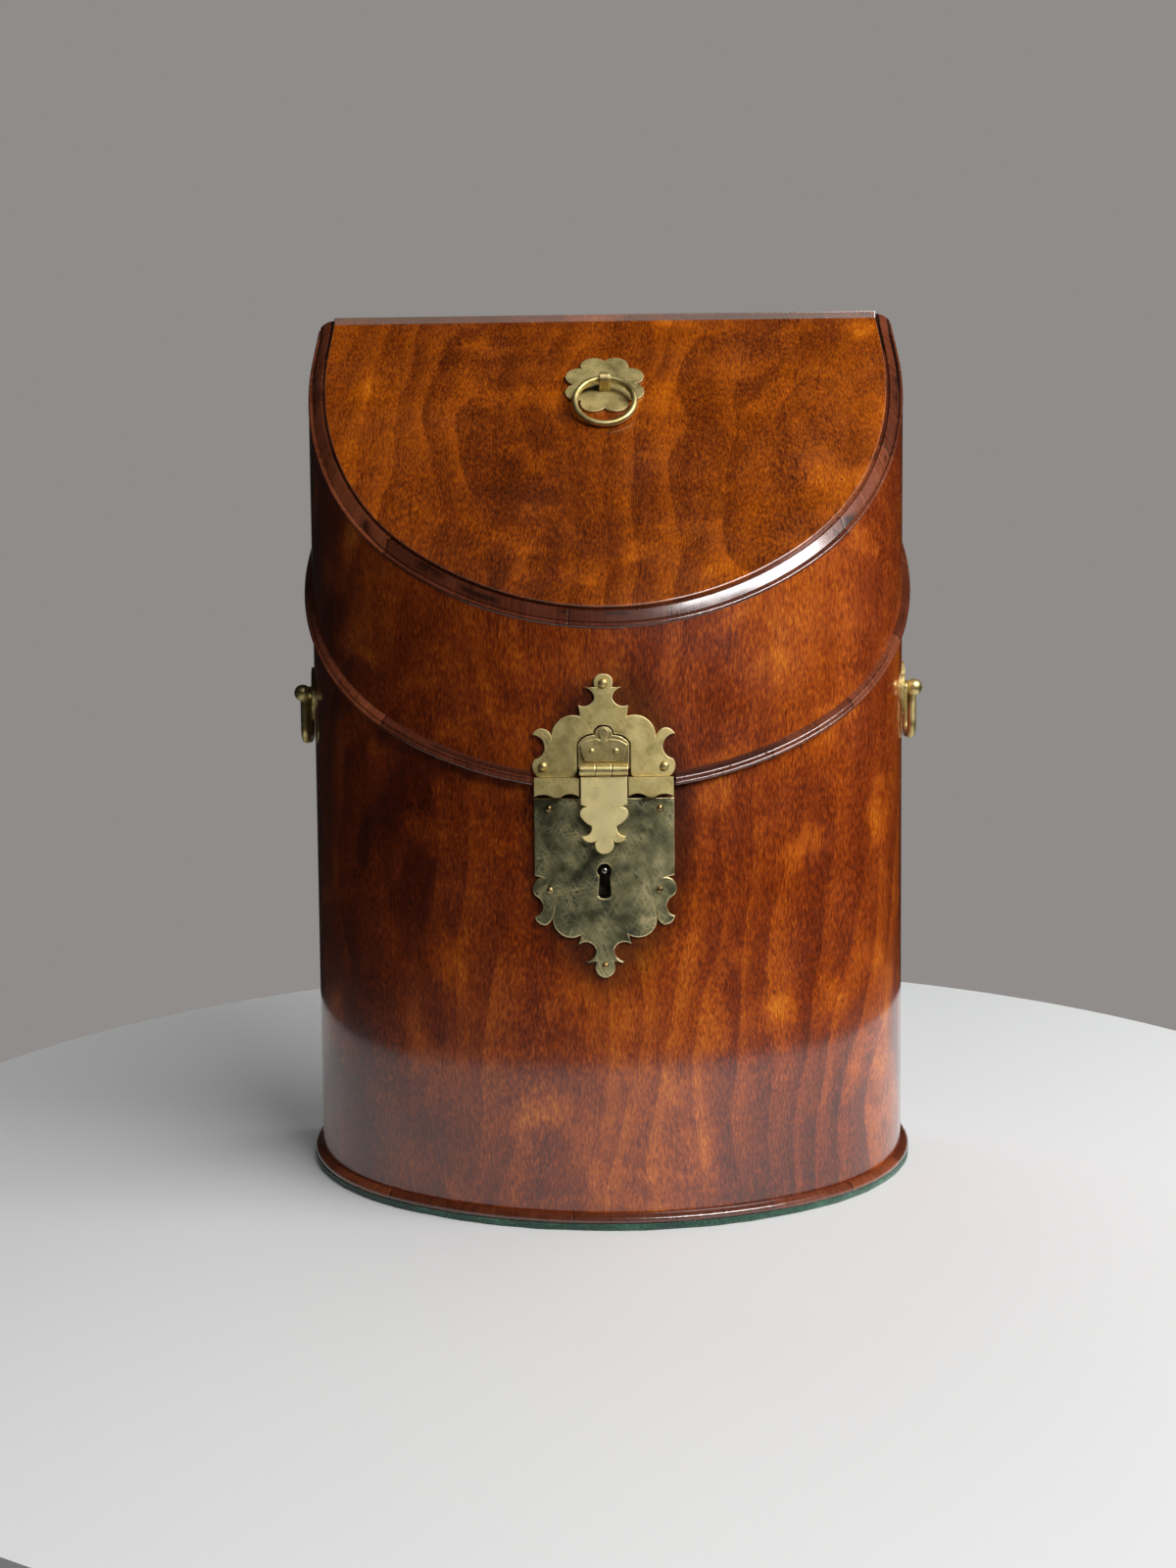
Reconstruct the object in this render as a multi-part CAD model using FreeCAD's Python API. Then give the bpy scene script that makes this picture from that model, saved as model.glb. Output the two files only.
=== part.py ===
"""Bow-fronted mahogany cutlery box with a hood lid, a stepped interior and a brass hasp lock."""
import FreeCAD
import Part
import math
import os

from FreeCAD import Matrix, Placement, Rotation, Vector

# Driving dimensions in millimetres and degrees.
# The box stands on z = 0, faces -Y, and its body plan is centred on the origin.

# Body plan: straight returns at the back, rounded corners and a broad bow in front
body_width = 230.0
return_length = 11.5
corner_inset = 26.0
crown_flattening = 22.8
wall = 9.0
back_thickness = 9.0

# Foot and base
baize = 2.2
bottom_thickness = 9.0
base_bead_height = 3.0
base_bead_reach = 3.0

# Slanting joint between carcase and lid, and the sloping top of the lid, measured at the back
parting_height = 244.3
parting_angle = 41.95
parting_gap = 0.4
lid_back_rise = 80.4
lid_angle = 49.34

# Lid top: panel standing above the wall, edge moulding, and the lip at the back
panel_rise = 3.5
panel_tongue = 3.0
moulding_width = 6.6
back_lip = 1.5
back_lip_height = 6.2

# Bead round the lid's lower rim
rim_bead_reach = 2.9
rim_bead_height = 2.1

# Stepped interior
front_tier_depth = 32.0
tier_thickness = 5.0
tier_drop = 8.0
riser_thickness = 5.0
ledge_width = 6.0
ledge_height = 6.0
fit_gap = 0.2
slot_length = 20.0
slot_width = 6.4
slot_pitch = 31.0
slot_counts = (6, 5, 3)

# Lock and hasp fittings; the set sits a little left of the centre line, and its fretted outlines
# are drawn on squares of this width
lock_x = -1.4
fret_square_width = 1.0
plate_thickness = 1.2
plate_below_parting = 3.5
pin_shank = 0.7
pin_depth = 5.0
lock_pin_head = 1.15
lid_pin_head = 1.6
case_half_width = 15.5
case_height = 34.5
case_depth = 7.5
case_wall = 1.2
case_below_plate_top = 1.7
keyhole_head = 2.4
keyhole_drop = 24.0
keyhole_foot = 8.8
key_post_radius = 1.0
bolt_thickness = 2.2
bolt_nose_height = 2.6
bolt_length = 12.2
bolt_tail_drop = 5.0
bolt_travel = 5.0
bolt_gap = 0.15
talon_radius = 1.3
guide_setback = 2.0
guide_width = 1.6
guide_height = 2.0
guide_pad = 7.0
spring_leaf = 0.4
staple_thickness = 2.2
staple_height = 5.5
staple_reach = 7.2
staple_drop = 21.6
slot_rise = 6.4
slot_fall = 2.3
slot_clearance = 0.5

# Hasp hinge
knuckle_radius = 1.9
knuckle_height = 5.75
knuckle_gap = 0.2
leaf_thickness = 1.2
knuckle_half_width = 7.9
centre_knuckle_half = 2.55
hasp_thickness = 1.2
hasp_pin_radius = 0.8
pin_clearance = 0.06

# Brass straps that take the bead's place beside the hasp
strap_inner = 8.1
strap_outer = 22.8
strap_reach = 3.0
strap_sheet = 0.8
strap_drop = 6.2
strap_top = 3.2
upper_plate_lift = 0.15

# Lid hinges
hinge_spacing = 124.0
hinge_length = 32.0
hinge_knuckle = 2.4
hinge_offset = 2.7
hinge_leaf = 1.5
hinge_leaf_reach = 13.4
hinge_pin_radius = 1.0
hinge_gap = 0.1
hinge_end_gap = 0.15

# Ring pull on the lid
ring_back_offset = 29.5
rosette_half_width = 15.0
rosette_half_height = 16.6
rosette_lobe = 5.1
rosette_core = 10.8
rosette_lobes = 8
rosette_thickness = 1.0
ring_radius = 11.15
ring_wire = 1.2
ring_pivot_height = 5.2
ring_pivot_shift = -2.6
ring_rest_gap = 0.15
staple_width = 4.0
staple_arch = 2.3
staple_bore_gap = 0.35

# Side handles
handle_turn = 5.5
handle_drop = 46.1
handle_plate = 1.2
handle_plate_rise = 10.35
handle_plate_lobe = 5.2
stud_spacing = 27.5
stud_reach = 3.4
stud_ball = 3.2
stud_neck = 2.0
stud_shank = 1.5
stud_depth = 6.0
bail_wire = 1.7
bail_drop = 17.8
bail_bend = 2.2
bail_corner = 4.5
bail_clearance = 0.08

# Values worked out from the driving dimensions
half_width = body_width / 2
corner_radius = half_width - corner_inset
crown_radius = half_width + crown_flattening
crown_behind_corner = math.sqrt((crown_radius - corner_radius) ** 2 - corner_inset**2)
body_depth = return_length + crown_radius - crown_behind_corner
back_y = body_depth / 2
front_y = -body_depth / 2
corner_x = corner_inset
corner_y = back_y - return_length
crown_y = front_y + crown_radius
lid_edge_height = parting_height + lid_back_rise
reach = body_width + body_depth + lid_edge_height
inner_back = back_y - back_thickness
inner_front = front_y + wall
lid_bottom_height = parting_height + parting_gap / math.cos(math.radians(parting_angle))


def slope_z(height, angle, y):
    """Height at y of a plane that has the given height at the back and falls towards the front."""
    return height + math.tan(math.radians(angle)) * (y - back_y)


parting_front = slope_z(parting_height, parting_angle, front_y)
lock_plate_top = parting_front - plate_below_parting
knuckle_z = parting_front + knuckle_height
knuckle_y = front_y - leaf_thickness - knuckle_gap - knuckle_radius
staple_z = knuckle_z - staple_drop
upper_plate_base = parting_front + strap_top + upper_plate_lift
handle_y = corner_y - corner_radius * math.sin(math.radians(handle_turn))
handle_height = slope_z(parting_height, parting_angle, handle_y) - handle_drop


def flat(z):
    """Return a placing function for plan points at height z."""
    return lambda point: Vector(point[0], point[1], z)


def upright(x, y, z):
    """Return a placing function for points of a front elevation, with its zero at x, y, z."""
    return lambda point: Vector(x + point[0], y, z + point[1])


def trace(start, steps, place):
    """Edges through the steps: a pair is a straight line, a quadruple an arc by way of its first pair."""
    edges = []
    here = start
    for step in steps:
        end = step[-2:]
        if len(step) == 2:
            edges.append(Part.LineSegment(place(here), place(end)).toShape())
        else:
            edges.append(Part.Arc(place(here), place(step[:2]), place(end)).toShape())
        here = end
    return edges


def drawn(steps):
    """Steps of a fretted outline, from drawing squares to millimetres."""
    return [tuple(fret_square_width * value for value in step) for step in steps]


def mirrored(start, steps):
    """Complete a right-hand half outline, from top to bottom of x = 0, with its left-hand half."""
    points = [start] + [step[-2:] for step in steps]
    left = []
    for index in range(len(steps) - 1, -1, -1):
        via = steps[index][:-2]
        end = (-points[index][0], points[index][1])
        left.append((-via[0], via[1]) + end if via else end)
    return list(steps) + left


def outline_face(start, steps, place):
    """Face inside a closed outline."""
    return Part.Face(Part.Wire(trace(start, steps, place)))


def plan_steps(inset, back):
    """Start and steps of the body plan, moved in by inset, from the right return round to the left."""
    side = half_width - inset
    corner = corner_radius - inset
    turn = math.atan2(corner_y - crown_y, corner_x)
    middle = (corner_x + corner * math.cos(turn / 2), corner_y + corner * math.sin(turn / 2))
    spring = (corner_x + corner * math.cos(turn), corner_y + corner * math.sin(turn))
    steps = [
        (side, corner_y),
        middle + spring,
        (0.0, front_y + inset, -spring[0], spring[1]),
        (-middle[0], middle[1], -side, corner_y),
        (-side, back),
    ]
    return (side, back), steps


def plan_prism(inset, back, low, high):
    """Upright solid on the body plan moved in by inset and cut off square at back."""
    start, steps = plan_steps(inset, back)
    return outline_face(start, steps + [start], flat(low)).extrude(Vector(0, 0, high - low))


def plan_shell(inset, thickness, low, high):
    """Upright bowed wall, open at the back."""
    outer = plan_prism(inset, back_y, low, high)
    return outer.cut(plan_prism(inset + thickness, back_y + wall, low, high))


def block(x0, x1, y0, y1, z0, z1):
    """Box between two corners."""
    return Part.makeBox(x1 - x0, y1 - y0, z1 - z0, Vector(x0, y0, z0))


def beyond(height, angle, upward):
    """Large solid above or below a sloping plane."""
    far = 3 * reach if upward else -3 * reach
    corners = [(-reach, slope_z(height, angle, -reach)), (reach, slope_z(height, angle, reach))]
    corners += [(reach, far), (-reach, far)]
    points = [Vector(-reach, y, z) for y, z in corners]
    return Part.Face(Part.makePolygon(points + points[:1])).extrude(Vector(2 * reach, 0, 0))


def above(height, angle):
    """Everything above a sloping plane."""
    return beyond(height, angle, True)


def below(height, angle):
    """Everything below a sloping plane."""
    return beyond(height, angle, False)


def swept_trim(height, angle, start, steps):
    """Strip that follows the body's outline on a sloping plane, cut square at the back.

    The section is drawn with its first value outwards in the plane and its second square to it.
    """
    run_out = wall + body_depth / 4
    slope = math.tan(math.radians(angle))
    shear = Matrix()
    shear.A32 = slope
    shear.A34 = height - slope * back_y
    plan_start, plan = plan_steps(0.0, back_y + run_out)
    spine = Part.Wire(trace(plan_start, plan, flat(0.0))).transformGeometry(shear)
    normal = Vector(0, -math.sin(math.radians(angle)), math.cos(math.radians(angle)))
    base = Vector(half_width, back_y + run_out, height + slope * run_out)
    section = trace(start, steps, lambda point: base + Vector(point[0], 0, 0) + normal * point[1])
    pipe = Part.BRepOffsetAPI.MakePipeShell(spine)
    pipe.setBiNormalMode(normal)
    pipe.add(Part.Wire(section))
    pipe.build()
    pipe.makeSolid()
    return pipe.shape().common(block(-reach, reach, -reach, back_y, -reach, 2 * reach))


def bow_shell(standoff, thickness):
    """Thin upright shell that follows the crown of the bow, at a distance from the wall."""
    outer = Part.makeCylinder(crown_radius + standoff + thickness, reach, Vector(0, crown_y, 0))
    return outer.cut(Part.makeCylinder(crown_radius + standoff, reach, Vector(0, crown_y, 0)))


def bow_plate(start, steps, z, standoff, thickness):
    """Sheet of brass with the given elevation, bent to the crown of the bow."""
    face = outline_face(start, steps, upright(lock_x, front_y - wall, z))
    return face.extrude(Vector(0, 2 * wall, 0)).common(bow_shell(standoff, thickness))


def around_bow(shape, x):
    """Turn a shape made on the centre line so that it stands square to the bow at x."""
    turned = shape.copy()
    turned.rotate(Vector(0, crown_y, 0), Vector(0, 0, 1), math.degrees(math.asin(x / crown_radius)))
    return turned


def pin_hole(x, z):
    """Drill for a round-headed pin."""
    start = Vector(0, front_y - wall, z)
    return around_bow(Part.makeCylinder(pin_shank, wall + pin_depth, start, Vector(0, 1, 0)), lock_x + x)


def round_pin(x, z, head, standoff):
    """Round-headed brass pin whose head rests on a sheet of the given thickness."""
    seat = front_y - standoff
    rise = 0.75 * head
    side = 0.72 * head
    profile = [(side, seat - 0.68 * rise, head, seat), (pin_shank, seat)]
    profile += [(pin_shank, front_y + pin_depth), (0.0, front_y + pin_depth), (0.0, seat - rise)]
    face = outline_face((0.0, seat - rise), profile, lambda point: Vector(point[0], point[1], z))
    pin = face.revolve(Vector(0, 0, z), Vector(0, 1, 0), 360)
    return around_bow(pin, lock_x + x)


# Carcase

def make_base_bead():
    """Half-round bead glued round the foot of the bowed wall."""
    reach_out = base_bead_reach
    high = base_bead_height
    steps = [
        (0.8 * reach_out, 0.0),
        (reach_out, 0.4 * high, 0.75 * reach_out, 0.78 * high),
        (0.5 * reach_out, 0.95 * high, 0.15 * reach_out, high),
        (-reach_out, high),
        (-reach_out, 0.0),
    ]
    strip = swept_trim(baize, 0.0, (-reach_out, 0.0), steps)
    return strip.cut(plan_prism(0.0, back_y, 0.0, reach))


def mortise():
    """Pocket in the front wall that takes the lock case."""
    top = lock_plate_top - case_below_plate_top
    side = case_half_width + fit_gap
    return block(lock_x - side, lock_x + side, front_y - wall, front_y + case_depth + fit_gap,
                 top - case_height - fit_gap, top + fit_gap)


def make_bow_wall():
    """Bent front and sides of the carcase with the lock mortise and the drilled holes."""
    shell = plan_shell(0.0, wall, baize, parting_height)
    shell = shell.cut(above(parting_height, parting_angle)).cut(mortise())
    for x, z in lock_pin_places():
        shell = shell.cut(pin_hole(x, z))
    return shell.cut(stud_holes())


def make_back_board():
    """Flat back between the returns, with pockets for the lower hinge leaves."""
    side = half_width - wall
    board = block(-side, side, inner_back, back_y, baize, parting_height)
    board = board.cut(above(parting_height, parting_angle))
    return board.cut(hinge_pockets(-1))


def make_bottom():
    """Bottom board inside the walls."""
    return plan_prism(wall, inner_back, baize, baize + bottom_thickness)


def make_baize():
    """Cloth-faced foot pad under the whole base."""
    return plan_prism(-base_bead_reach, back_y, 0.0, baize)


# Stepped interior

def tier_edges():
    """Front edges of the tiers, from the back one to the front one."""
    upper = len(slot_counts) - 1
    step = (inner_back - inner_front - front_tier_depth) / upper
    return [inner_back - (index + 1) * step for index in range(upper)] + [inner_front]


def tier_tops():
    """Heights of the tiers, each the same drop below the slanting mouth at its front edge."""
    return [slope_z(parting_height, parting_angle, edge) - tier_drop for edge in tier_edges()]


def tier_back(index):
    """Back edge of a tier, which runs under the riser behind it."""
    return inner_back - fit_gap if index == 0 else tier_edges()[index - 1] + riser_thickness


def obround(x, y, low, high):
    """Upright slot with round ends, long in X."""
    end = slot_width / 2
    flank = slot_length / 2 - end
    tip = slot_length / 2
    steps = [(flank, -end), (tip, 0.0, flank, end), (-flank, end), (-tip, 0.0, -flank, -end)]
    face = outline_face((-flank, -end), steps, lambda point: Vector(x + point[0], y + point[1], low))
    return face.extrude(Vector(0, 0, high - low))


def slot_y(index):
    """Row of slots in the open part of a tier."""
    rear = tier_back(index) - (riser_thickness if index else 0.0)
    front = tier_edges()[index]
    return (rear + front) / 2 + (slot_width / 2 if front == inner_front else 0.0)


def make_tier(index):
    """Level board of the stepped interior with its row of cutlery slots."""
    top = tier_tops()[index]
    inside = plan_prism(wall + fit_gap, inner_back - fit_gap, top - tier_thickness, top)
    board = inside.common(block(-reach, reach, tier_edges()[index], tier_back(index), 0.0, reach))
    count = slot_counts[index]
    for place in range(count):
        x = (place - (count - 1) / 2) * slot_pitch
        board = board.cut(obround(x, slot_y(index), top - 2 * tier_thickness, top + tier_thickness))
    return board


def make_riser(index):
    """Upright board that stands on one tier and carries the front edge of the tier behind it."""
    edge = tier_edges()[index]
    low = tier_tops()[index + 1]
    high = tier_tops()[index] - tier_thickness
    inside = plan_prism(wall + fit_gap, inner_back - fit_gap, low, high)
    return inside.common(block(-reach, reach, edge, edge + riser_thickness, 0.0, reach))


def make_ledges():
    """Strips glued inside the wall under the ends of the tiers, and one along the back board."""
    ledges = []
    for index in range(len(slot_counts)):
        top = tier_tops()[index] - tier_thickness
        ring = plan_shell(wall, ledge_width, top - ledge_height, top)
        front = tier_edges()[index]
        carried = front > inner_front
        start = front + riser_thickness + fit_gap if carried else front - fit_gap
        span = block(-reach, reach, start, tier_back(index), 0.0, reach)
        ledges += ring.common(span).Solids
    top = tier_tops()[0] - tier_thickness
    side = half_width - wall - ledge_width - 2 * fit_gap
    ledges.append(block(-side, side, inner_back - ledge_width, inner_back, top - ledge_height, top))
    return Part.makeCompound(ledges)


# Lock in the front wall

def lock_pin_places():
    """Pins of the lock plate: two above, two at the ears and one in the foot."""
    places = drawn([(18.1, -3.5), (-18.1, -3.5), (17.9, -30.4), (-17.9, -30.4), (0.0, -55.4)])
    return [(x, lock_plate_top + z) for x, z in places]


def lock_plate_outline():
    """Right half of the lock plate, from the middle of its top edge to its foot."""
    return (0.0, 0.0), drawn([
        (23.1, 0.0),
        (23.1, -25.6),
        (20.7, -26.3),
        (23.6, -28.9, 22.7, -32.5),
        (20.5, -36.4, 23.1, -39.2),
        (21.9, -41.4, 19.3, -42.0),
        (17.9, -40.8, 17.0, -38.9),
        (14.1, -45.3, 7.9, -45.2),
        (8.7, -48.4),
        (5.0, -47.8, 3.0, -50.0),
        (3.7, -52.4, 6.2, -54.1),
        (2.8, -54.0),
        (3.0, -57.2, 0.0, -59.4),
    ])


def keyhole():
    """Keyhole with a round head and a flared foot."""
    neck = 0.7 * keyhole_head
    flare = 0.88 * keyhole_head
    steps = [
        (neck, -neck),
        (flare, 0.5 * keyhole_head - keyhole_foot),
        (neck, 0.15 * keyhole_head - keyhole_foot, 0.0, -keyhole_foot),
    ]
    start = (0.0, -neck)
    place = upright(lock_x, front_y - wall, lock_plate_top - keyhole_drop)
    foot = outline_face(start, mirrored(start, steps), place).extrude(Vector(0, 2 * wall, 0))
    centre = Vector(lock_x, front_y - wall, lock_plate_top - keyhole_drop)
    return foot.fuse(Part.makeCylinder(keyhole_head, 2 * wall, centre, Vector(0, 1, 0)))


def staple_slot():
    """Slot in the lock plate for the staple of the hasp, with room for the lid and the hasp to swing."""
    side = staple_thickness / 2 + slot_clearance
    return block(lock_x - side, lock_x + side, front_y - wall, front_y + case_depth / 2,
                 staple_z - staple_height / 2 - slot_fall, staple_z + staple_height / 2 + slot_rise)


def make_lock_plate():
    """Fretted brass plate over the lock, bent to the bow."""
    start, half = lock_plate_outline()
    plate = bow_plate(start, mirrored(start, half), lock_plate_top, 0.0, plate_thickness)
    plate = plate.cut(keyhole()).cut(staple_slot())
    for x, z in lock_pin_places():
        plate = plate.cut(pin_hole(x, z))
    return plate


def make_lock_plate_pins():
    """Pins that hold the lock plate."""
    pins = [round_pin(x, z, lock_pin_head, plate_thickness) for x, z in lock_pin_places()]
    return Part.makeCompound(pins)


def bolt_y():
    """Front and back faces of the lock bolt."""
    middle = front_y + staple_reach / 2 - plate_thickness / 2
    return middle - bolt_thickness / 2, middle + bolt_thickness / 2


def bolt_rest():
    """Nose of the drawn bolt, just clear of the staple."""
    return lock_x - staple_thickness / 2 - slot_clearance


def make_lock_case():
    """Lock case let into the wall, open towards the plate, with the lugs that guide the bolt."""
    top = lock_plate_top - case_below_plate_top
    outer = block(lock_x - case_half_width, lock_x + case_half_width, front_y - wall, front_y + case_depth,
                  top - case_height, top)
    inner = block(lock_x - case_half_width + case_wall, lock_x + case_half_width - case_wall,
                  front_y - 2 * wall, front_y + case_depth - case_wall,
                  top - case_height + case_wall, top - case_wall)
    case = outer.cut(inner).common(plan_prism(0.0, back_y, 0.0, reach))
    near, far = bolt_y()
    floor = front_y + case_depth - case_wall
    nose = bolt_rest()
    half = bolt_nose_height / 2
    right = nose - guide_setback
    left = right - guide_width
    low = staple_z - half
    high = staple_z + half
    pad = block(right - guide_pad, right, far + bolt_gap, floor, low - guide_height, high)
    lug = block(left, right, near, floor, high + bolt_gap, high + guide_height)
    rest = block(left, right, near, floor, low - guide_height, low - bolt_gap)
    return case.fuse([pad, lug, rest])


def make_key_post():
    """Drill pin on which the key turns, riveted in the back of the lock case."""
    back = front_y + case_depth - case_wall
    start = Vector(lock_x, front_y - plate_thickness / 2, lock_plate_top - keyhole_drop)
    return Part.makeCylinder(key_post_radius, back - start.y, start, Vector(0, 1, 0))


def make_lock_bolt():
    """Sliding bolt with its talon for the key, drawn back to the left."""
    near, far = bolt_y()
    nose = bolt_rest()
    half = bolt_nose_height / 2
    low = staple_z - half
    end = nose - bolt_length
    stop = nose - guide_setback - guide_width - bolt_travel - bolt_gap
    bar = block(end, nose, near, far, low, staple_z + half)
    tail = block(end, stop, near, far, low - bolt_tail_drop, low)
    notch = Vector((end + stop) / 2, near - bolt_thickness, low - bolt_tail_drop)
    talon = Part.makeCylinder(talon_radius, 3 * bolt_thickness, notch, Vector(0, 1, 0))
    return bar.fuse(tail).cut(talon).removeSplitter()


def make_bolt_spring():
    """Folded leaf spring between the top of the lock case and the bolt."""
    near, far = bolt_y()
    top = lock_plate_top - case_below_plate_top - case_wall
    low = staple_z + bolt_nose_height / 2 + bolt_gap
    nose = bolt_rest()
    left = nose - bolt_length
    right = nose - guide_setback - guide_width - bolt_gap
    middle = (left + right) / 2
    fold = low + spring_leaf * (top - low) / (right - middle)
    steps = [
        (left + spring_leaf, top),
        (middle, fold),
        (right - spring_leaf, top),
        (right, top),
        (middle, low),
        (left, top),
    ]
    face = outline_face((left, top), steps, lambda point: Vector(point[0], near + bolt_gap, point[1]))
    return face.extrude(Vector(0, bolt_thickness - 2 * bolt_gap, 0))


# Lid

def make_lid_wall():
    """Bent front and sides of the lid, drilled for the pins of the upper plate."""
    shell = plan_shell(0.0, wall, parting_front, lid_edge_height)
    shell = shell.common(above(lid_bottom_height, parting_angle)).cut(above(lid_edge_height, lid_angle))
    for x, z in upper_pin_places():
        shell = shell.cut(pin_hole(x, z))
    return shell


def make_lid_back_board():
    """Flat back of the lid with its thin lip behind the panel and pockets for the upper hinge leaves."""
    side = half_width - wall
    board = block(-side, side, inner_back, back_y, parting_front, lid_edge_height)
    board = board.common(above(lid_bottom_height, parting_angle)).cut(above(lid_edge_height, lid_angle))
    lip_side = half_width - moulding_width
    lip_top = lid_edge_height + back_lip_height
    lip = block(-lip_side, lip_side, back_y - back_lip, back_y, lid_bottom_height, lip_top)
    lip = lip.common(above(lid_edge_height, lid_angle))
    return board.fuse(lip).removeSplitter().cut(hinge_pockets(1))


def moulding_section(rise):
    """Section of the lid's edge moulding: outer bead, groove, broad band and a channel at the panel."""
    width = moulding_width
    return (0.0, 0.0), [
        (-0.2, 0.8, -1.0, 0.95),
        (-1.15, 0.4),
        (-1.9, 0.5),
        (-2.05, 0.9),
        (-3.52, 0.52 * rise, 1.5 - width, rise - 0.8),
        (1.3 - width, rise - 1.5),
        (-width, rise - 1.5),
        (-width, 0.0),
        (0.0, 0.0),
    ]


def make_lid_moulding():
    """Cross-grained moulding round the sloping edge of the lid."""
    start, steps = moulding_section(panel_rise)
    return swept_trim(lid_edge_height, lid_angle, start, steps)


def make_lid_panel():
    """Sloping top panel, rebated so that its tongue drops inside the lid wall."""
    normal = Vector(0, -math.sin(math.radians(lid_angle)), math.cos(math.radians(lid_angle)))
    lift = panel_rise / normal.z
    start, steps = plan_steps(0.0, back_y)
    column = outline_face(start, steps + [start], flat(0.0)).extrude(Vector(0, 0, 2 * reach))
    margin = [(wall, -wall), (wall, wall), (-moulding_width, wall), (-moulding_width, -wall)]
    border = swept_trim(lid_edge_height, lid_angle, (-moulding_width, -wall), margin)
    slab = column.common(above(lid_edge_height, lid_angle)).cut(above(lid_edge_height + lift, lid_angle))
    slab = slab.cut(border).common(block(-reach, reach, -reach, back_y - back_lip, 0.0, 2 * reach))
    drop = panel_tongue / normal.z
    tongue = plan_prism(wall + fit_gap, inner_back - fit_gap, 0.0, 2 * reach)
    tongue = tongue.common(below(lid_edge_height, lid_angle)).cut(below(lid_edge_height - drop, lid_angle))
    return slab.fuse(tongue).removeSplitter()


def make_rim_bead():
    """Bead round the lower rim of the lid, stopped at each side of the brass straps."""
    out = rim_bead_reach
    high = rim_bead_height
    steps = [
        (0.76 * out, 0.0),
        (out, 0.33 * high, 0.76 * out, 0.64 * high),
        (0.62 * out, 0.68 * high),
        (0.5 * out, 0.94 * high, 0.2 * out, high),
        (-1.2 * out, high),
        (-1.2 * out, 0.0),
    ]
    strip = swept_trim(lid_bottom_height, parting_angle, (-1.2 * out, 0.0), steps)
    strip = strip.cut(plan_prism(0.0, back_y, 0.0, 2 * reach))
    stop = strap_outer + 4 * fit_gap
    return strip.cut(block(lock_x - stop, lock_x + stop, -reach, crown_y, 0.0, reach))


def upper_pin_places():
    """Pins of the upper plate: one in the finial and one in each ear."""
    places = drawn([(0.0, 30.6), (19.8, 3.5), (-19.8, 3.5)])
    return [(x, upper_plate_base + z) for x, z in places]


def upper_plate_outline():
    """Right half of the upper plate, from the tip of its finial round to the notch for the hasp leaf."""
    return (0.0, 33.6 * fret_square_width), drawn([
        (2.9, 32.0, 2.7, 29.3),
        (6.1, 29.2),
        (3.7, 27.8, 3.0, 25.6),
        (5.0, 23.4, 8.2, 23.5),
        (7.6, 19.8),
        (14.0, 19.0, 17.1, 13.2),
        (18.4, 15.2, 20.6, 16.0),
        (22.3, 15.3, 23.4, 13.9),
        (19.4, 10.2, 22.6, 5.9),
        (23.4, 2.6, 21.2, 0.0),
        (10.2, 0.0),
        (9.2, 0.4, 8.8, 1.4),
        (8.8, 11.0),
        (6.4, 13.4, 3.4, 14.1),
        (2.4, 16.2, 0.0, 17.0),
    ])


def make_upper_plate():
    """Fretted brass plate on the lid, notched for the hasp leaf."""
    start, half = upper_plate_outline()
    plate = bow_plate(start, mirrored(start, half), upper_plate_base, 0.0, plate_thickness)
    for x, z in upper_pin_places():
        plate = plate.cut(pin_hole(x, z))
    return plate


def make_upper_plate_pins():
    """Pins that hold the upper plate."""
    pins = [round_pin(x, z, lid_pin_head, plate_thickness) for x, z in upper_pin_places()]
    return Part.makeCompound(pins)


def make_straps():
    """Pair of bent brass straps over the rim beside the hasp, with wavy lower edges."""
    top = parting_front + strap_top
    width = strap_outer - strap_inner
    steps = [
        (strap_outer, 0.0),
        (strap_outer, -strap_drop),
        (strap_outer - 0.2 * width, 0.8 - strap_drop, strap_outer - 0.4 * width, -strap_drop),
        (strap_outer - 0.5 * width, -strap_drop - 0.3, strap_outer - 0.6 * width, -strap_drop),
        (strap_outer - 0.75 * width, 1.0 - strap_drop, strap_inner, -strap_drop),
        (strap_inner, 0.0),
    ]
    face = outline_face((strap_inner, 0.0), steps, upright(lock_x, front_y - wall, top))
    sheet = face.extrude(Vector(0, 2 * wall, 0)).common(bow_shell(strap_reach - strap_sheet, strap_sheet))
    flange = block(lock_x + strap_inner, lock_x + strap_outer, front_y - wall, front_y + wall,
                   top - strap_sheet, top)
    flange = flange.common(bow_shell(0.0, strap_reach))
    right = sheet.fuse(flange).removeSplitter()
    left = right.mirror(Vector(lock_x, 0, 0), Vector(1, 0, 0))
    return Part.makeCompound([left, right])


def tube_x(x0, x1, y, z, radius):
    """Round bar along X."""
    return Part.makeCylinder(radius, x1 - x0, Vector(x0, y, z), Vector(1, 0, 0))


def rivet_places():
    """Rivets of the hasp leaf."""
    return [(x, knuckle_z + z) for x, z in drawn([(-3.9, 6.1), (3.9, 6.1)])]


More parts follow.
